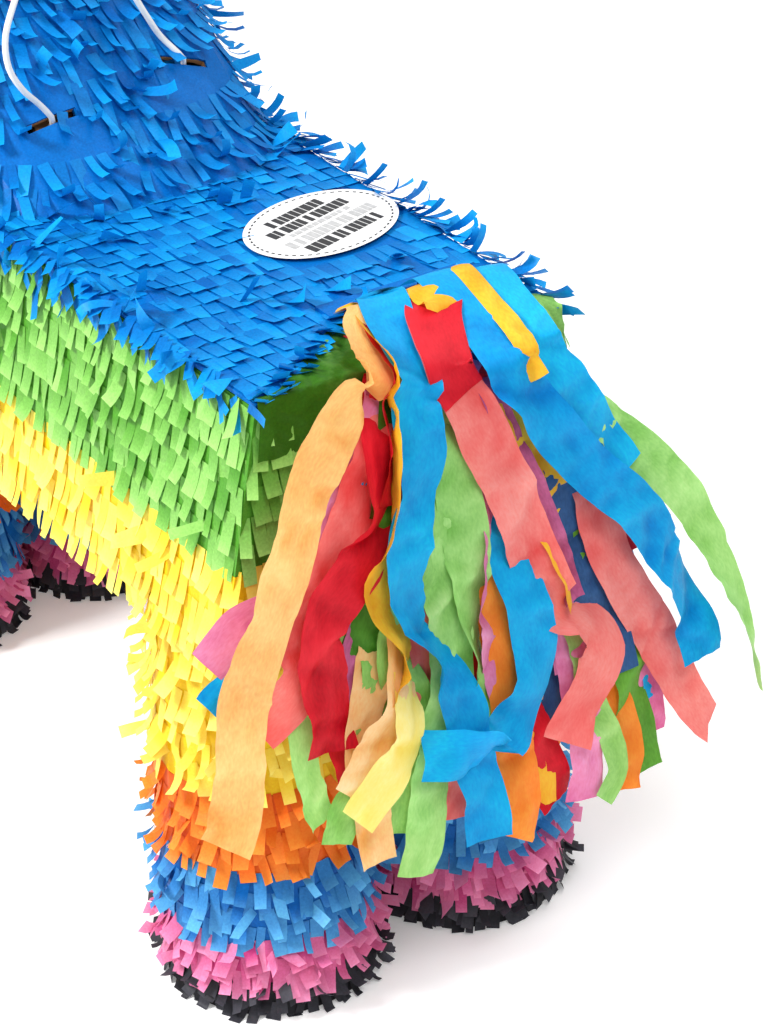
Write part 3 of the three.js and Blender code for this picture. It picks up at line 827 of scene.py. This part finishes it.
# %% Mane
MANE_LOOK = {"length": 17, "lift": 14, "curl": 22, "curl_spread": 30, "yaw": 16, "twist": 14, "stray": 0.15}
MANE_MIDDLE = place(0, -165, 462)
rng = np.random.default_rng(640)
tabs = Tabs()
mane_skin = skin_tree("mane")
ridge = []
ridge_out = []
for angle in np.radians(np.linspace(-80, 150, 70)):
    out = Vector((0, math.cos(angle), math.sin(angle)))
    points, _ = touch(mane_skin, [MANE_MIDDLE + out * 0.3], [-out])
    if len(points) and (points[0] - np.array(MANE_MIDDLE)) @ np.array(out) > 0.02:
        ridge.append(points[0])
        ridge_out.append(out)
ridge = np.array(ridge)
ridge_out = np.array(ridge_out)
print("the mane's ridge has", len(ridge), "points")
for side in (1, -1):
    for depth, half in ((9, 9.4), (4.5, 9.2), (0.5, 5), (0.2, 1.5)):
        base = ridge - ridge_out * depth * MM
        base[:, 0] += side * half * MM
        hang = ridge_out + np.array([side * (0.5 - depth * 0.03), 0, -0.1])
        tabs.add_row(base, (side, 0.1, 0.15), hang, 6 * MM, rng)
foot = Vector(ridge[0] - ridge_out[0] * 12 * MM)
for drop in (0, 7, 14):
    base = [foot + Vector((x, 0.004 + 0.75 * drop, -0.5 * drop)) * MM for x in np.linspace(16, -16, 12)]
    tabs.add_row(base, (0, 1, 0.4), (0, 0.3, -1), 6.2 * MM, rng)
for height, near, far in ((412, -4, 24), (405, 2, 30), (398, 8, 36)):
    starts = [place(x, 200, height) for x in np.linspace(far, near, 12)]
    tabs.add_touched(neck_skin, starts, (0, -1, 0), (0.3, 0.2, -1), 6.2 * MM, rng)
fringe("mane_fringe", tabs, "pink", MANE_LOOK, rng)
print("mane done")

# %% [markdown]
# Each eye is a round card. A black disc is the pupil, and a small white one above its middle is the glint.

# %% Eyes
DISC_DEPTH = 0.8
# each disc: name, radius, how far up, how far out, material
DISCS = (("pupil", 8.0, 0.0, 0.3, print_ink), ("glint", 2.3, 3.0, 0.8, coated_paper))
for name, side in (("left_eye", 1), ("right_eye", -1)):
    low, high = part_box(name)
    middle = (low + high) / 2
    outer = high.x if side > 0 else low.x
    for part, radius, rise, out, material in DISCS:
        clean_slate()
        bpy.ops.mesh.primitive_cylinder_add(
            vertices=40,
            radius=radius * MM,
            depth=DISC_DEPTH * MM,
            rotation=(0, math.pi / 2, 0),
            location=(outer + side * out * MM, middle.y, middle.z + rise * MM),
        )
        bpy.ops.object.transform_apply(location=True, rotation=True)
        disc = bpy.context.object
        disc.name = f"{name}_{part}"
        disc.data.materials.append(material)
        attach(disc, "pinata")
print("eyes done")


# %% [markdown]
# ## The tail
# The tail is a bundle of long paper strips, glued to the back under a strip of tissue. They rise in an arch,
# fall over the rump and spread as they hang. Each is one strip: it follows its own line, turns on the way,
# cups a little across and is creased from handling.

# %% Streamer papers
STREAMER_COLOURS = {
    "tan": ((0.86, 0.30, 0.05), (0.99, 0.66, 0.25)),
    "gold": ((0.86, 0.33, 0.006), (1.0, 0.70, 0.07)),
    "peach": ((0.90, 0.42, 0.10), (1.0, 0.76, 0.42)),
    "lemon": ((0.90, 0.70, 0.04), (1.0, 0.95, 0.40)),
    "coral": ((0.84, 0.07, 0.07), (1.0, 0.36, 0.32)),
    "crimson": ((0.45, 0.002, 0.012), (0.90, 0.03, 0.05)),
    "pink": ((0.62, 0.07, 0.26), (0.95, 0.38, 0.62)),
    "mauve": ((0.34, 0.05, 0.16), (0.70, 0.20, 0.42)),
    "azure": ((0.0, 0.21, 0.60), (0.012, 0.52, 0.94)),
    # slate and forest: dark blue and dark green paper, painted shade for the strips that lie deep in the bundle
    "slate": ((0.012, 0.05, 0.17), (0.05, 0.15, 0.36)),
    "leaf": ((0.14, 0.45, 0.05), (0.50, 0.86, 0.30)),
    "forest": ((0.025, 0.15, 0.008), (0.15, 0.42, 0.05)),
    "orange": ((0.86, 0.16, 0.01), (1.0, 0.38, 0.06)),
}
CREPE = {"fibre": (1, 0.4, 1), "by_uv": True, "light_through": 0.25, "bump": 0.7}
strip_paper = {name: paper(f"streamer_{name}", *pair, **CREPE) for name, pair in STREAMER_COLOURS.items()}

# %% [markdown]
# No two strips hang alike, so each has a line of its own. The tail's middle falls in one curve behind the
# rump, and a strip's place is given by how far sideways and how high it is, and how far out from that curve.
# The first strips are the ones that show. The later ones fill the bundle below them.

# %% Streamer paths
TAIL_Z = (62, 116, 184, 252, 302, 329)
TAIL_Y = (281, 270, 258, 249, 241, 227)


def tail_y(z):
    return float(np.interp(z, TAIL_Z, TAIL_Y))


LAID_ON = {"coral_top": ("coral", "crimson")}  # a short strip: the one that it lies on, and its own paper
# name, which starts with its paper, root x and y, how far out it lies, width,
# then its stations down the tail: x, z, and if wanted the turn in degrees and its own distance out
STREAMERS = [
    ("tan", (5, 191), 14, 23, (31, 325, 45), (41, 321, 34), (49, 316, 20), (55, 311, 10), (62, 305, 5),
     (68, 299), (75, 288), (82, 273), (90, 258), (97, 244), (105, 230), (114, 213), (119, 193), (123, 172),
     (127, 158), (132, 151, -20)),
    ("azure_left", (-9, 188), 16, 22, (13, 320), (18, 313), (20, 302), (19, 289), (23, 276), (31, 254),
     (34, 236), (30, 222, 30), (24, 211, 66), (18, 198, 60), (14, 185, 15), (10, 169), (9, 150), (5, 129),
     (5, 106)),
    ("gold_left", (4, 190), 12, 20, (18, 322, 55), (26, 314, 62), (27, 303, 64), (29, 291, 64), (32, 271, 60),
     (37, 253, 45), (44, 241, 20), (41, 228, 15), (35, 211, 50), (34, 197, 60), (39, 183, 30), (46, 168),
     (56, 157)),
    ("crimson_root", (3, 193), 9, 16, (20, 320, 50), (29, 313, 60), (30, 300, 60), (31, 285, 50),
     (34, 270, 30)),
    ("coral", (-26, 202), 13, 24, (-3, 321), (-4, 314), (-9, 301), (-15, 284), (-22, 266), (-28, 246),
     (-35, 224), (-43, 203), (-51, 193, 60), (-62, 184, 30), (-66, 170), (-60, 157), (-51, 147), (-43, 134)),
    ("coral_top",),
    ("gold_fold", (-27, 194), 16, 21, (-23, 329, 5, -13), (-21, 326, 12, -13)),
    ("mauve_back", (-30, 206), 11.5, 11, (-18, 318), (-20, 305), (-27, 286), (-35, 265), (-42, 243), (-49, 220),
     (-55, 198)),
    ("gold_right", (-38, 205), 9, 25, (-31, 318), (-34, 303), (-38, 290), (-42, 273), (-46, 254),
     (-50, 233, 20), (-53, 215, 40), (-56, 197, 55)),
    ("azure_broad", (-39, 186), 18, 23, (-28, 320), (-31, 310), (-37, 300), (-46, 284), (-58, 267), (-70, 253),
     (-84, 238), (-96, 220), (-105, 199, 35), (-112, 182, 30), (-117, 164), (-118, 152)),
    ("gold_sliver", (-50, 188), 20, 10, (-38, 322, -10), (-37, 316, -25), (-40, 308, -50)),
    ("azure_right", (-57, 192), 11, 27, (-46, 320), (-48, 312), (-53, 302), (-62, 286), (-72, 268), (-82, 250)),
    ("slate", (-50, 206), 6, 26, (-50, 314), (-52, 290), (-57, 270), (-60, 248), (-64, 221), (-69, 193),
     (-74, 169), (-76, 152)),
    ("coral_right", (-54, 208), 9, 22, (-54, 316), (-61, 290), (-66, 268), (-70, 250), (-74, 225), (-83, 198),
     (-97, 171), (-107, 149), (-114, 132, 10), (-121, 120, 20), (-127, 111, 30)),
    ("leaf_right", (-60, 206), 10, 19, (-51, 308, 0, 3), (-55, 300, 0, 4), (-66, 285, 0, 6), (-86, 267),
     (-106, 245), (-125, 218), (-133, 194, 20, 18), (-135, 176, 35, 28), (-135, 160, 50, 34),
     (-133, 142, 60, 36)),
    ("leaf_middle", (-14, 206), 9, 21, (0, 312), (1, 290), (0, 270), (-2, 247), (-3, 226), (-3, 209, 25),
     (-5, 190, 50), (-7, 170, 20), (-8, 157)),
    ("leaf_crinkled", (-2, 206), 6, 22, (10, 312), (13, 290), (14, 266), (16, 247), (23, 228), (34, 213),
     (37, 198, 20), (31, 179), (31, 161), (37, 139), (43, 119)),
    ("leaf_end", (-6, 208), 9, 22, (8, 300, 0, 4), (10, 250, 0, 4), (8, 205, 0, 6), (12, 178), (19, 162),
     (25, 148), (30, 133), (33, 117), (40, 99)),
    ("crimson_left", (6, 206), 11.5, 24, (25, 314, 0, 5), (33, 300, 20, 6), (37, 288, 30), (38, 274, 40),
     (42, 262, 30), (52, 250), (66, 238), (75, 224), (75, 206), (73, 189), (74, 171)),
    ("coral_left", (4, 207), 5.5, 23, (25, 312, 0, 3), (34, 298), (40, 285), (54, 261), (68, 243), (79, 229),
     (82, 212, 20), (90, 199), (105, 190)),
    ("pink_left", (5, 209), 4, 22, (25, 308), (42, 284), (63, 256), (79, 244), (96, 240, 20), (108, 237),
     (117, 231), (124, 226)),
    ("azure_bit", (2, 210), 2, 15, (30, 298), (60, 250), (86, 226), (104, 216), (117, 211), (125, 206)),
    ("mauve_left", (2, 209), 1, 22, (24, 306), (40, 273), (56, 252), (74, 240), (84, 222)),
    ("forest_left", (0, 210), 3, 22, (18, 308), (29, 275), (36, 246), (43, 226), (50, 210), (54, 196)),
    ("mauve_middle", (-2, 211), 2, 23, (14, 298), (24, 255), (35, 228), (50, 206), (52, 190, 20), (47, 177)),
    ("leaf_strip", (3, 210), 5, 15, (26, 298, 0, 2), (48, 252, 0, 2), (67, 219), (81, 195), (85, 177),
     (84, 156, 20), (80, 138)),
    ("leaf_low", (1, 211), 7, 18, (22, 290, 0, 1), (38, 230, 0, 2), (46, 190), (54, 168), (63, 149), (70, 139),
     (76, 127)),
    ("peach_low", (0, 211), 8, 18, (20, 280, 0, 1), (36, 225, 0, 2), (52, 190), (59, 170), (58, 142), (57, 125),
     (57, 111)),
    ("peach_square", (4, 211), 14, 25, (26, 250, 0, 2), (34, 205, 40, 6), (41, 184, 30), (49, 172), (59, 160),
     (69, 150)),
    ("lemon_square", (2, 211), 18, 20, (26, 240, 0, 2), (34, 195, 40, 8), (41, 171, 20), (50, 160), (60, 151),
     (71, 142)),
    ("azure_loop", (-18, 209), 14, 22, (-14, 300, 0, 2), (-20, 262, 0, 3), (-24, 232, 0, 6), (-27, 210),
     (-30, 190), (-28, 172, 10), (-19, 158, 5), (-6, 152, 0, 18), (8, 154, 0, 20), (22, 156, 0, 20),
     (36, 160, 0, 18)),
    ("crimson_middle", (-10, 210), 1.5, 24, (2, 308), (8, 270), (13, 237), (10, 212), (4, 191), (1, 171),
     (-1, 157)),
    ("coral_low", (-8, 211), 5, 21, (6, 298, 0, 2), (12, 255, 0, 2), (18, 215), (17, 189), (17, 167), (16, 141),
     (17, 114)),
    ("pink_edge", (-20, 208), 5.5, 20, (-14, 308, 0, 3), (-18, 275, 0, 4), (-17, 246, 40), (-12, 220, 62),
     (-10, 197, 40), (-16, 175, 10), (-21, 155)),
    ("crimson_crumple", (-22, 210), 4, 23, (-14, 308), (-14, 285), (-15, 262), (-22, 235), (-24, 211),
     (-21, 187)),
    ("pink_middle", (-36, 209), 4.5, 20, (-34, 300, 0, 2), (-42, 250, 0, 3), (-49, 215), (-53, 190),
     (-55, 163)),
    ("pink_low", (-38, 210), 7, 20, (-38, 290, 0, 1), (-46, 230, 0, 2), (-53, 185), (-56, 160), (-57, 140),
     (-57, 121), (-54, 99)),
    ("orange_low", (-42, 210), 6, 20, (-45, 290, 0, 1), (-55, 230, 0, 2), (-64, 185), (-70, 157), (-75, 136),
     (-79, 114), (-76, 94)),
    ("leaf_hook", (-40, 210), 9, 12, (-42, 280, 0, 2), (-50, 220, 0, 3), (-56, 175), (-62, 146), (-70, 124),
     (-72, 108), (-62, 97)),
    ("forest_low", (-48, 209), 3.5, 21, (-50, 300, 0, 2), (-64, 250, 0, 3), (-76, 210), (-82, 187), (-88, 165),
     (-86, 142, 20), (-88, 120), (-90, 98)),
    ("pink_far", (-52, 210), 2, 18, (-54, 300), (-72, 240), (-86, 185), (-93, 155), (-97, 131), (-98, 112)),
    ("crimson_low", (-26, 211), 4, 21, (-22, 300, 0, 1), (-22, 240, 0, 2), (-22, 190), (-26, 157), (-33, 133),
     (-38, 114), (-41, 101)),
    ("orange_curl", (-22, 211), 7, 20, (-17, 290, 0, 1), (-17, 230, 0, 3), (-18, 180), (-19, 146), (-19, 127),
     (-19, 107), (-13, 96)),
    ("gold_low", (-30, 211), 5, 18, (-28, 290, 0, 1), (-30, 230, 0, 2), (-31, 180), (-31, 140), (-32, 118),
     (-31, 103)),
    ("crimson_short", (-56, 210), 2, 16, (-58, 300), (-74, 262), (-84, 235), (-91, 219), (-96, 204)),
    ("forest_right", (-58, 209), 4, 18, (-58, 304), (-70, 270), (-79, 244), (-86, 216)),
    ("azure_short", (-56, 211), 1, 18, (-58, 296), (-80, 230), (-97, 180), (-103, 150), (-105, 131)),
    ("forest_middle", (-6, 212), 0, 24, (8, 306), (16, 270), (22, 235), (26, 205), (24, 175), (20, 150)),
    ("slate_middle", (-30, 212), 0, 24, (-26, 306), (-30, 265), (-36, 225), (-42, 190), (-44, 160), (-42, 135)),
    ("crimson_back", (2, 212), 0, 24, (22, 304), (40, 265), (56, 230), (62, 200), (60, 172), (56, 150)),
]
print(len(STREAMERS), "streamers")

# %% [markdown]
# A strip's line runs from its root over the back's end and through its stations. The strips with a root near
# the front lie on top, so they rise and arch. The others lie flat below them and drop at the edge.

# %% Start a strip
ON_TOP_Y = 203
EDGE_Z = 309


def streamer_line(root, out, stations):
    """The first places of a strip, and the stations that follow them."""
    x, y = root
    first_x = stations[0][0]
    if y < ON_TOP_Y:
        layer = 3 + out * 0.3
        over = y + 11 if len(stations) < 3 else max(y + 18, 213)
        line = [
            place(x, y - 13, 318.6 + layer * 0.2),
            place(x, y - 4, 320.5 + layer * 0.8),
            place(x + 0.12 * (first_x - x), y + 4, 321.3 + layer),
            place(x + 0.55 * (first_x - x), over, 321 + layer),
        ]
        return line, stations
    layer = 0.12 * out
    line = [
        place(x, y - 8, 318.9 + layer),
        place(x, 216, 319.4 + layer),
        place(x + 0.3 * (first_x - x), 225, 318.6 + layer),
        place(x + 0.5 * (first_x - x), 229 + layer, 312.5),
    ]
    return line, [station for station in stations if station[1] < EDGE_Z]


def fold_ridge(rng):
    """One straight fold: where, how much it leans, half its width and its height."""
    where, lean, half_width = rng.uniform(0.05, 0.36), rng.uniform(-1.1, 1.1), rng.uniform(0.003, 0.011)
    return where, lean, half_width, rng.choice((-1, 1)) * rng.uniform(0.5, 1.7)


def grid_faces(along, across):
    """Faces between corners that are listed across first."""
    row = across + 1
    starts = [i * row + j for i in range(along) for j in range(across)]
    return np.array([(k, k + 1, k + row + 1, k + row) for k in starts])


# %% [markdown]
# Corners are set out across the line, turned with the strip, and moved off it by soft waves, by sharper
# creases and by straight fold ridges, as in paper that has been packed flat. All grow from nothing at the
# root, where the strips are pressed together.

# %% Make a streamer
ACROSS = 8
STREAMER_STEP = 2.6 * MM
RIDGES = 22
GATHERED_TURN = 40
WAVES_ACROSS, WAVES_ALONG = 45, 30
SHARPER = 2.4
WAVE_HEIGHT, CREASE_HEIGHT = 1.2, 2.2


def streamer(number, name, colour, root, out, width, *stations, lift=0.0, reach=1.0):
    """One strip of paper along its line, from its root on the back to its loose end.

    reach is the share of the line that it covers, and lift raises it off a strip below.
    """
    rng = np.random.default_rng(700 + number)
    line, stations = streamer_line(root, out, stations)
    gathered = len(stations[0]) > 2 and abs(stations[0][2]) > GATHERED_TURN
    turns = [0, 0, 0, 25 if gathered else 0]
    folds = [fold_ridge(rng) for _ in range(RIDGES)]
    for station in stations:
        away = station[3] if len(station) > 3 else out
        line.append(place(station[0], tail_y(station[1]) + away, station[1]))
        turns.append(station[2] if len(station) > 2 else rng.normal(0, 8))
    points, length = smooth_path(line, STREAMER_STEP)
    share = np.linspace(0, 1, len(points))
    knots = np.r_[0, np.cumsum([(b - a).length for a, b in zip(line, line[1:])])]
    turn = np.radians(np.interp(share, knots / knots[-1], turns))
    ahead = unit(np.gradient(points, axis=0))
    outward = np.cross(np.array([1.0, 0, 0]), ahead)
    outward[:, 0] = 0
    outward = unit(outward)
    outward *= np.sign((outward * np.array([0, 1, 0.6])).sum(1, keepdims=True) + 1e-6)
    across = unit(np.cross(ahead, outward))
    outward = np.cross(across, ahead)
    side = across * np.cos(turn)[:, None] + outward * np.sin(turn)[:, None]
    face = np.cross(side, ahead)
    cup = rng.uniform(-1.6, 1.6) * MM
    half = width / 2 * MM
    corners = []
    tone = []
    level = rng.normal(0.5, 0.08)
    points = points[: max(2, round(len(points) * reach))]
    for i, point in enumerate(points):
        run = share[i] * length
        grown = min(1, max(0.12, (run - 0.03) / 0.06))
        wide = half * (min(1, 0.4 + max(0, run - 0.02) / 0.08) if gathered else 1)
        for j in range(ACROSS + 1):
            u = j / ACROSS * 2 - 1
            seed = Vector((u * half * WAVES_ACROSS + number * 7.3, run * WAVES_ALONG, number * 3.1))
            broad = noise.noise(seed)
            sharp = abs(noise.noise(seed * SHARPER + Vector((9, 4, 2)))) - 0.22
            ridge = sum(
                height * max(0, 1 - abs(run - where - lean * u * half) / half_width)
                for where, lean, half_width, height in folds
            )
            crease = (broad * WAVE_HEIGHT - sharp * CREASE_HEIGHT + ridge) * MM * grown
            off_line = crease + cup * (1 - u * u) + lift * MM
            corner = Vector(point) + Vector(side[i]) * (u * wide) + Vector(face[i]) * off_line
            corners.append(corner)
            # tone: a random level per strip, plus painted light on the raised waves and fold ridges and painted
            # shade in the creases
            tone.append(level + broad * 0.22 - sharp * 0.5 + ridge * 0.15)
    piece = sheet_mesh(
        f"streamer_{name}",
        np.array(corners),
        grid_faces(len(points) - 1, ACROSS),
        np.clip(np.array(tone), 0, 1),
        strip_paper[colour],
    )
    uv = piece.data.uv_layers.new(name="strip")
    for loop in piece.data.loops:
        i, j = divmod(loop.vertex_index, ACROSS + 1)
        uv.data[loop.index].uv = ((j / ACROSS - 0.5) * width * MM + number, share[i] * length)
    return piece


# %% [markdown]
# All the strips are made in the order of the list. A strip that is laid on another one follows it, fold for
# fold, so that the two never cross. Together they stand for the frame's three bundles.

# %% Hang the streamers
TOP_LIFT, TOP_REACH = 0.7, 0.3
streamers = []
for number, (name, *facts) in enumerate(STREAMERS):
    if name in LAID_ON:
        under, colour = LAID_ON[name]
        below = [row[0] for row in STREAMERS].index(under)
        facts = STREAMERS[below][1:]
        streamers.append(streamer(below, name, colour, *facts, lift=TOP_LIFT, reach=TOP_REACH))
    else:
        streamers.append(streamer(number, name, name.split("_")[0], *facts))
bundles = ["tail_streamers_left", "tail_streamers_middle", "tail_streamers_right"]
for piece in streamers:
    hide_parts(*bundles)
print("streamers done")

# %% [markdown]
# ## The fill label
# A coated paper oval is stuck over the fill hole, a little askew. A dashed line shows where it tears. The
# rim outside the line stays on the back, and the middle is a piece of its own. Its wording is only shown as
# plain bars of ink.

# %% Label
TEAR_LINE = 0.9
RING_CORNERS = 96


def on_label(u, v, lift=0.0):
    """A place on the label, from its own two half axes."""
    x, y = u * STICKER_HALF[0], v * STICKER_HALF[1]
    cos, sin = math.cos(STICKER_TURN), math.sin(STICKER_TURN)
    return STICKER_MIDDLE + Vector((x * cos - y * sin, x * sin + y * cos, lift))


def label_piece(name, corners, faces, material):
    mesh = bpy.data.meshes.new(name)
    mesh.from_pydata(corners, [], faces)
    mesh.materials.append(material)
    made = linked(name, mesh)
    return made


def label_ring(name, inner, outer, rings):
    """A flat band of the oval, between two shares of its half axes."""
    angles = np.linspace(0, 2 * math.pi, RING_CORNERS, endpoint=False)
    shares = np.linspace(inner, outer, rings)
    rims = [(share * math.cos(angle), share * math.sin(angle)) for share in shares for angle in angles]
    corners = [on_label(u, v) for u, v in rims]
    faces = []
    for start in range(0, (rings - 1) * RING_CORNERS, RING_CORNERS):
        for i in range(RING_CORNERS):
            k = (i + 1) % RING_CORNERS
            faces.append((start + i, start + k, start + RING_CORNERS + k, start + RING_CORNERS + i))
    return label_piece(name, corners, faces, coated_paper)


def follow_flap(piece):
    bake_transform(piece)


label_rim = label_ring("label_outer_band", TEAR_LINE, 1.0, rings=3)
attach(label_rim, "pinata")
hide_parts("fill_label_rim")
label_middle = label_ring("label_middle", 0.004, TEAR_LINE, rings=26)
follow_flap(label_middle)
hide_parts("fill_label")

# %% [markdown]
# Ink is a layer of small patches just above the paper. The dashes are on the rim and stay with it. The bars
# stand where lines of words would be, over the middle.

# %% Dashes and bars of ink
INK_LIFT = 0.12 * MM
DASHES = 56
WORD_LEAN = 0.012
grey_ink = plain("faded_ink", (0.42, 0.42, 0.42), 0.45, EVEN, 0.3, 500, 0.05)


def ink_patches(name, patches, material):
    """Small four-cornered patches of ink."""
    corners = [on_label(u, v, INK_LIFT) for patch in patches for u, v in patch]
    faces = [tuple(range(start, start + 4)) for start in range(0, len(corners), 4)]
    return label_piece(name, corners, faces, material)


dashes = []
for i in range(DASHES):
    ends = [2 * math.pi * (i + part) / DASHES for part in (0.0, 0.5)]
    ring = [(share, angle) for share in (TEAR_LINE + 0.006, TEAR_LINE + 0.03) for angle in ends]
    a, b, d, c = [(share * math.cos(angle), share * math.sin(angle)) for share, angle in ring]
    dashes.append((a, b, c, d))
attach(ink_patches("label_dashes", dashes, print_ink), "pinata")

# each line: how far up the label, height, half length, ink
LINES = [
    (-0.54, 0.23, 0.42, "print"),
    (-0.26, 0.23, 0.62, "print"),
    (-0.05, 0.10, 0.46, "faded"),
    (0.18, 0.23, 0.68, "faded"),
    (0.48, 0.25, 0.60, "print"),
]
rng = np.random.default_rng(800)
bars = {"print": [], "faded": []}
for middle, height, half, ink in LINES:
    u = -half
    while u < half:
        wide = rng.uniform(0.06, 0.1)
        gap = 0.05 if rng.random() < 0.2 else 0.014
        top, bottom = middle - height / 2, middle + height / 2
        leaning = (-u - wide + WORD_LEAN, bottom), (-u + WORD_LEAN, bottom)
        bars[ink].append(((-u, top), (-u - wide, top), *leaning))
        u += wide + gap
for ink, material in (("print", print_ink), ("faded", grey_ink)):
    follow_flap(ink_patches(f"label_bars_{ink}", bars[ink], material))
print("label done")

# %% [markdown]
# ## The turned-up end
# At the tail the green tissue of the rump is turned up over the edge of the back and glued down in folds,
# so the blue ends in a hollow line in front of it. The streamers hide the middle of it. Its green is
# painted darker than the rump's, as shade, and darker still in the hollows of the folds.

# %% Turned-up end
COLUMNS, ROWS = 72, 26
# a deep colour darker than the rump's green: painted shade from the arch of the tail
painted_shade_green = paper("painted_shade_green", (0.035, 0.14, 0.008), (0.34, 0.68, 0.17))
corners = []
tone = []
for i in range(COLUMNS + 1):
    x = 77.5 - 155 * i / COLUMNS
    front = blue_end(x) - 3
    path = [
        place(x, front, 317.6),
        place(x, max(front + 4, 216), 319.2),
        place(x, 225.2, 318.4),
        place(x, 227, 311),
        place(x * 1.03, 227.6, 292),
    ]
    line = np.array(path)
    run = np.r_[0, np.cumsum(np.linalg.norm(np.diff(line, axis=0), axis=1))]
    for j in range(ROWS + 1):
        at = run[-1] * j / ROWS
        point = Vector([np.interp(at, run, line[:, k]) for k in range(3)])
        seed = Vector((x / 17, at * 45, 4))
        fold = noise.noise(seed) - 1.3 * abs(noise.noise(seed * 2.3))
        out = Vector((0, 0.6, 0.8)) * (fold * 2.2 * MM * min(1, at * 150) + 0.6 * MM)
        corners.append(point + out)
        # tone: painted shade, darker towards +x and in the hollows of the folds, lighter on their crests
        tone.append(0.42 - 0.009 * x + fold * 0.4)
tone = np.clip(np.array(tone), 0, 1)
sheet_mesh("rump_turned_up", np.array(corners), grid_faces(COLUMNS, ROWS), tone, painted_shade_green)
print("turned-up end done")

# %% [markdown]
# ## Finishes for the ready-made pieces
# The wraps under the fringe take the same paper as their tabs, in its deep colour: painted shade between
# the tabs. Board, tubes, cord ends and the label get their own.

# %% Dress the frame
def dress(name, material):
    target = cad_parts[name]
    target.data.materials.clear()
    target.data.materials.append(material)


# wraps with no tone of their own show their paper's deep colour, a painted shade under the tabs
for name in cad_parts:
    if name.endswith("_leg_tube"):
        dress(name, rolled_paper)
    elif name.startswith("body_tissue_"):
        dress(name, tab_paper[name.rsplit("_", 1)[1]])
    elif "_leg_" in name:
        band = name.rsplit("_", 1)[1]
        dress(name, tab_paper[LEG_ROWS[band]["paper"]])
    elif name.endswith("_tissue") or name in ("left_ear", "right_ear", "tail_strip", "muzzle_board"):
        dress(name, smooth_blue)
    elif name == "mane":
        dress(name, tab_paper["pink"])
    elif name in ("fill_label", "fill_label_rim", "left_eye", "right_eye"):
        dress(name, coated_paper)
    elif "cord" in name:
        dress(name, cord_plastic)
    elif not name.startswith("tail_streamers"):
        dress(name, board)

# %% [markdown]
# ## Floor and light
# A pale floor and a pale sky give soft light from all sides. One lamp beside the camera, on its left, makes
# the flank brighter than the rump and puts a small shadow under each tab. Two weaker ones fill in.

# %% Floor and light
FLOOR_SIZE, FLOOR_GLOW, SKY_STRENGTH = 12, 0.22, 0.6
LAMP_AIM = place(0, 60, 200)
clean_slate()
bpy.ops.mesh.primitive_plane_add(size=FLOOR_SIZE, location=(0, 0, 0))
floor = bpy.context.object
floor.name = "floor"
floor.data.materials.append(plain("pale_floor", (0.93, 0.93, 0.93), 0.9, EVEN, 0.02, 3, 0.0, FLOOR_GLOW))
floor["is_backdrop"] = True

world = bpy.data.worlds.new("sky")
world.use_nodes = True
sky = world.node_tree.nodes["Background"]
sky.inputs["Color"].default_value = (1, 1, 1, 1)
sky.inputs["Strength"].default_value = SKY_STRENGTH
bpy.context.scene.world = world


def lamp(name, offset, size, power):
    """A square lamp at an offset in the camera's own directions: right, up and back towards it."""
    data = bpy.data.lights.new(name, "AREA")
    data.shape = "SQUARE"
    data.size = size
    data.energy = power
    made = linked(name, data)
    made.location = LAMP_AIM + camera_right * offset[0] + camera_up * offset[1] - view_line * offset[2]
    made.rotation_euler = (LAMP_AIM - made.location).to_track_quat("-Z", "Y").to_euler()


lamp("key", (-1.4, 0.9, 1.1), 0.45, 42)
lamp("front", (0.35, 0.75, 1.7), 0.6, 14)
lamp("top", (0.6, 1.3, 0.2), 0.9, 6)
bpy.context.scene.view_settings.view_transform = "Standard"

# %% [markdown]
# ## Measure the size and finish
# The paper may stand a little proud of the frame, but the donkey keeps its size. How far it stands out of
# the frame's box, below and above, is printed.

# %% Finish
low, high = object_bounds()
for gap in (cad_low - low, high - cad_high):
    print("proud of the frame by", [round(v / MM) for v in gap], "mm")
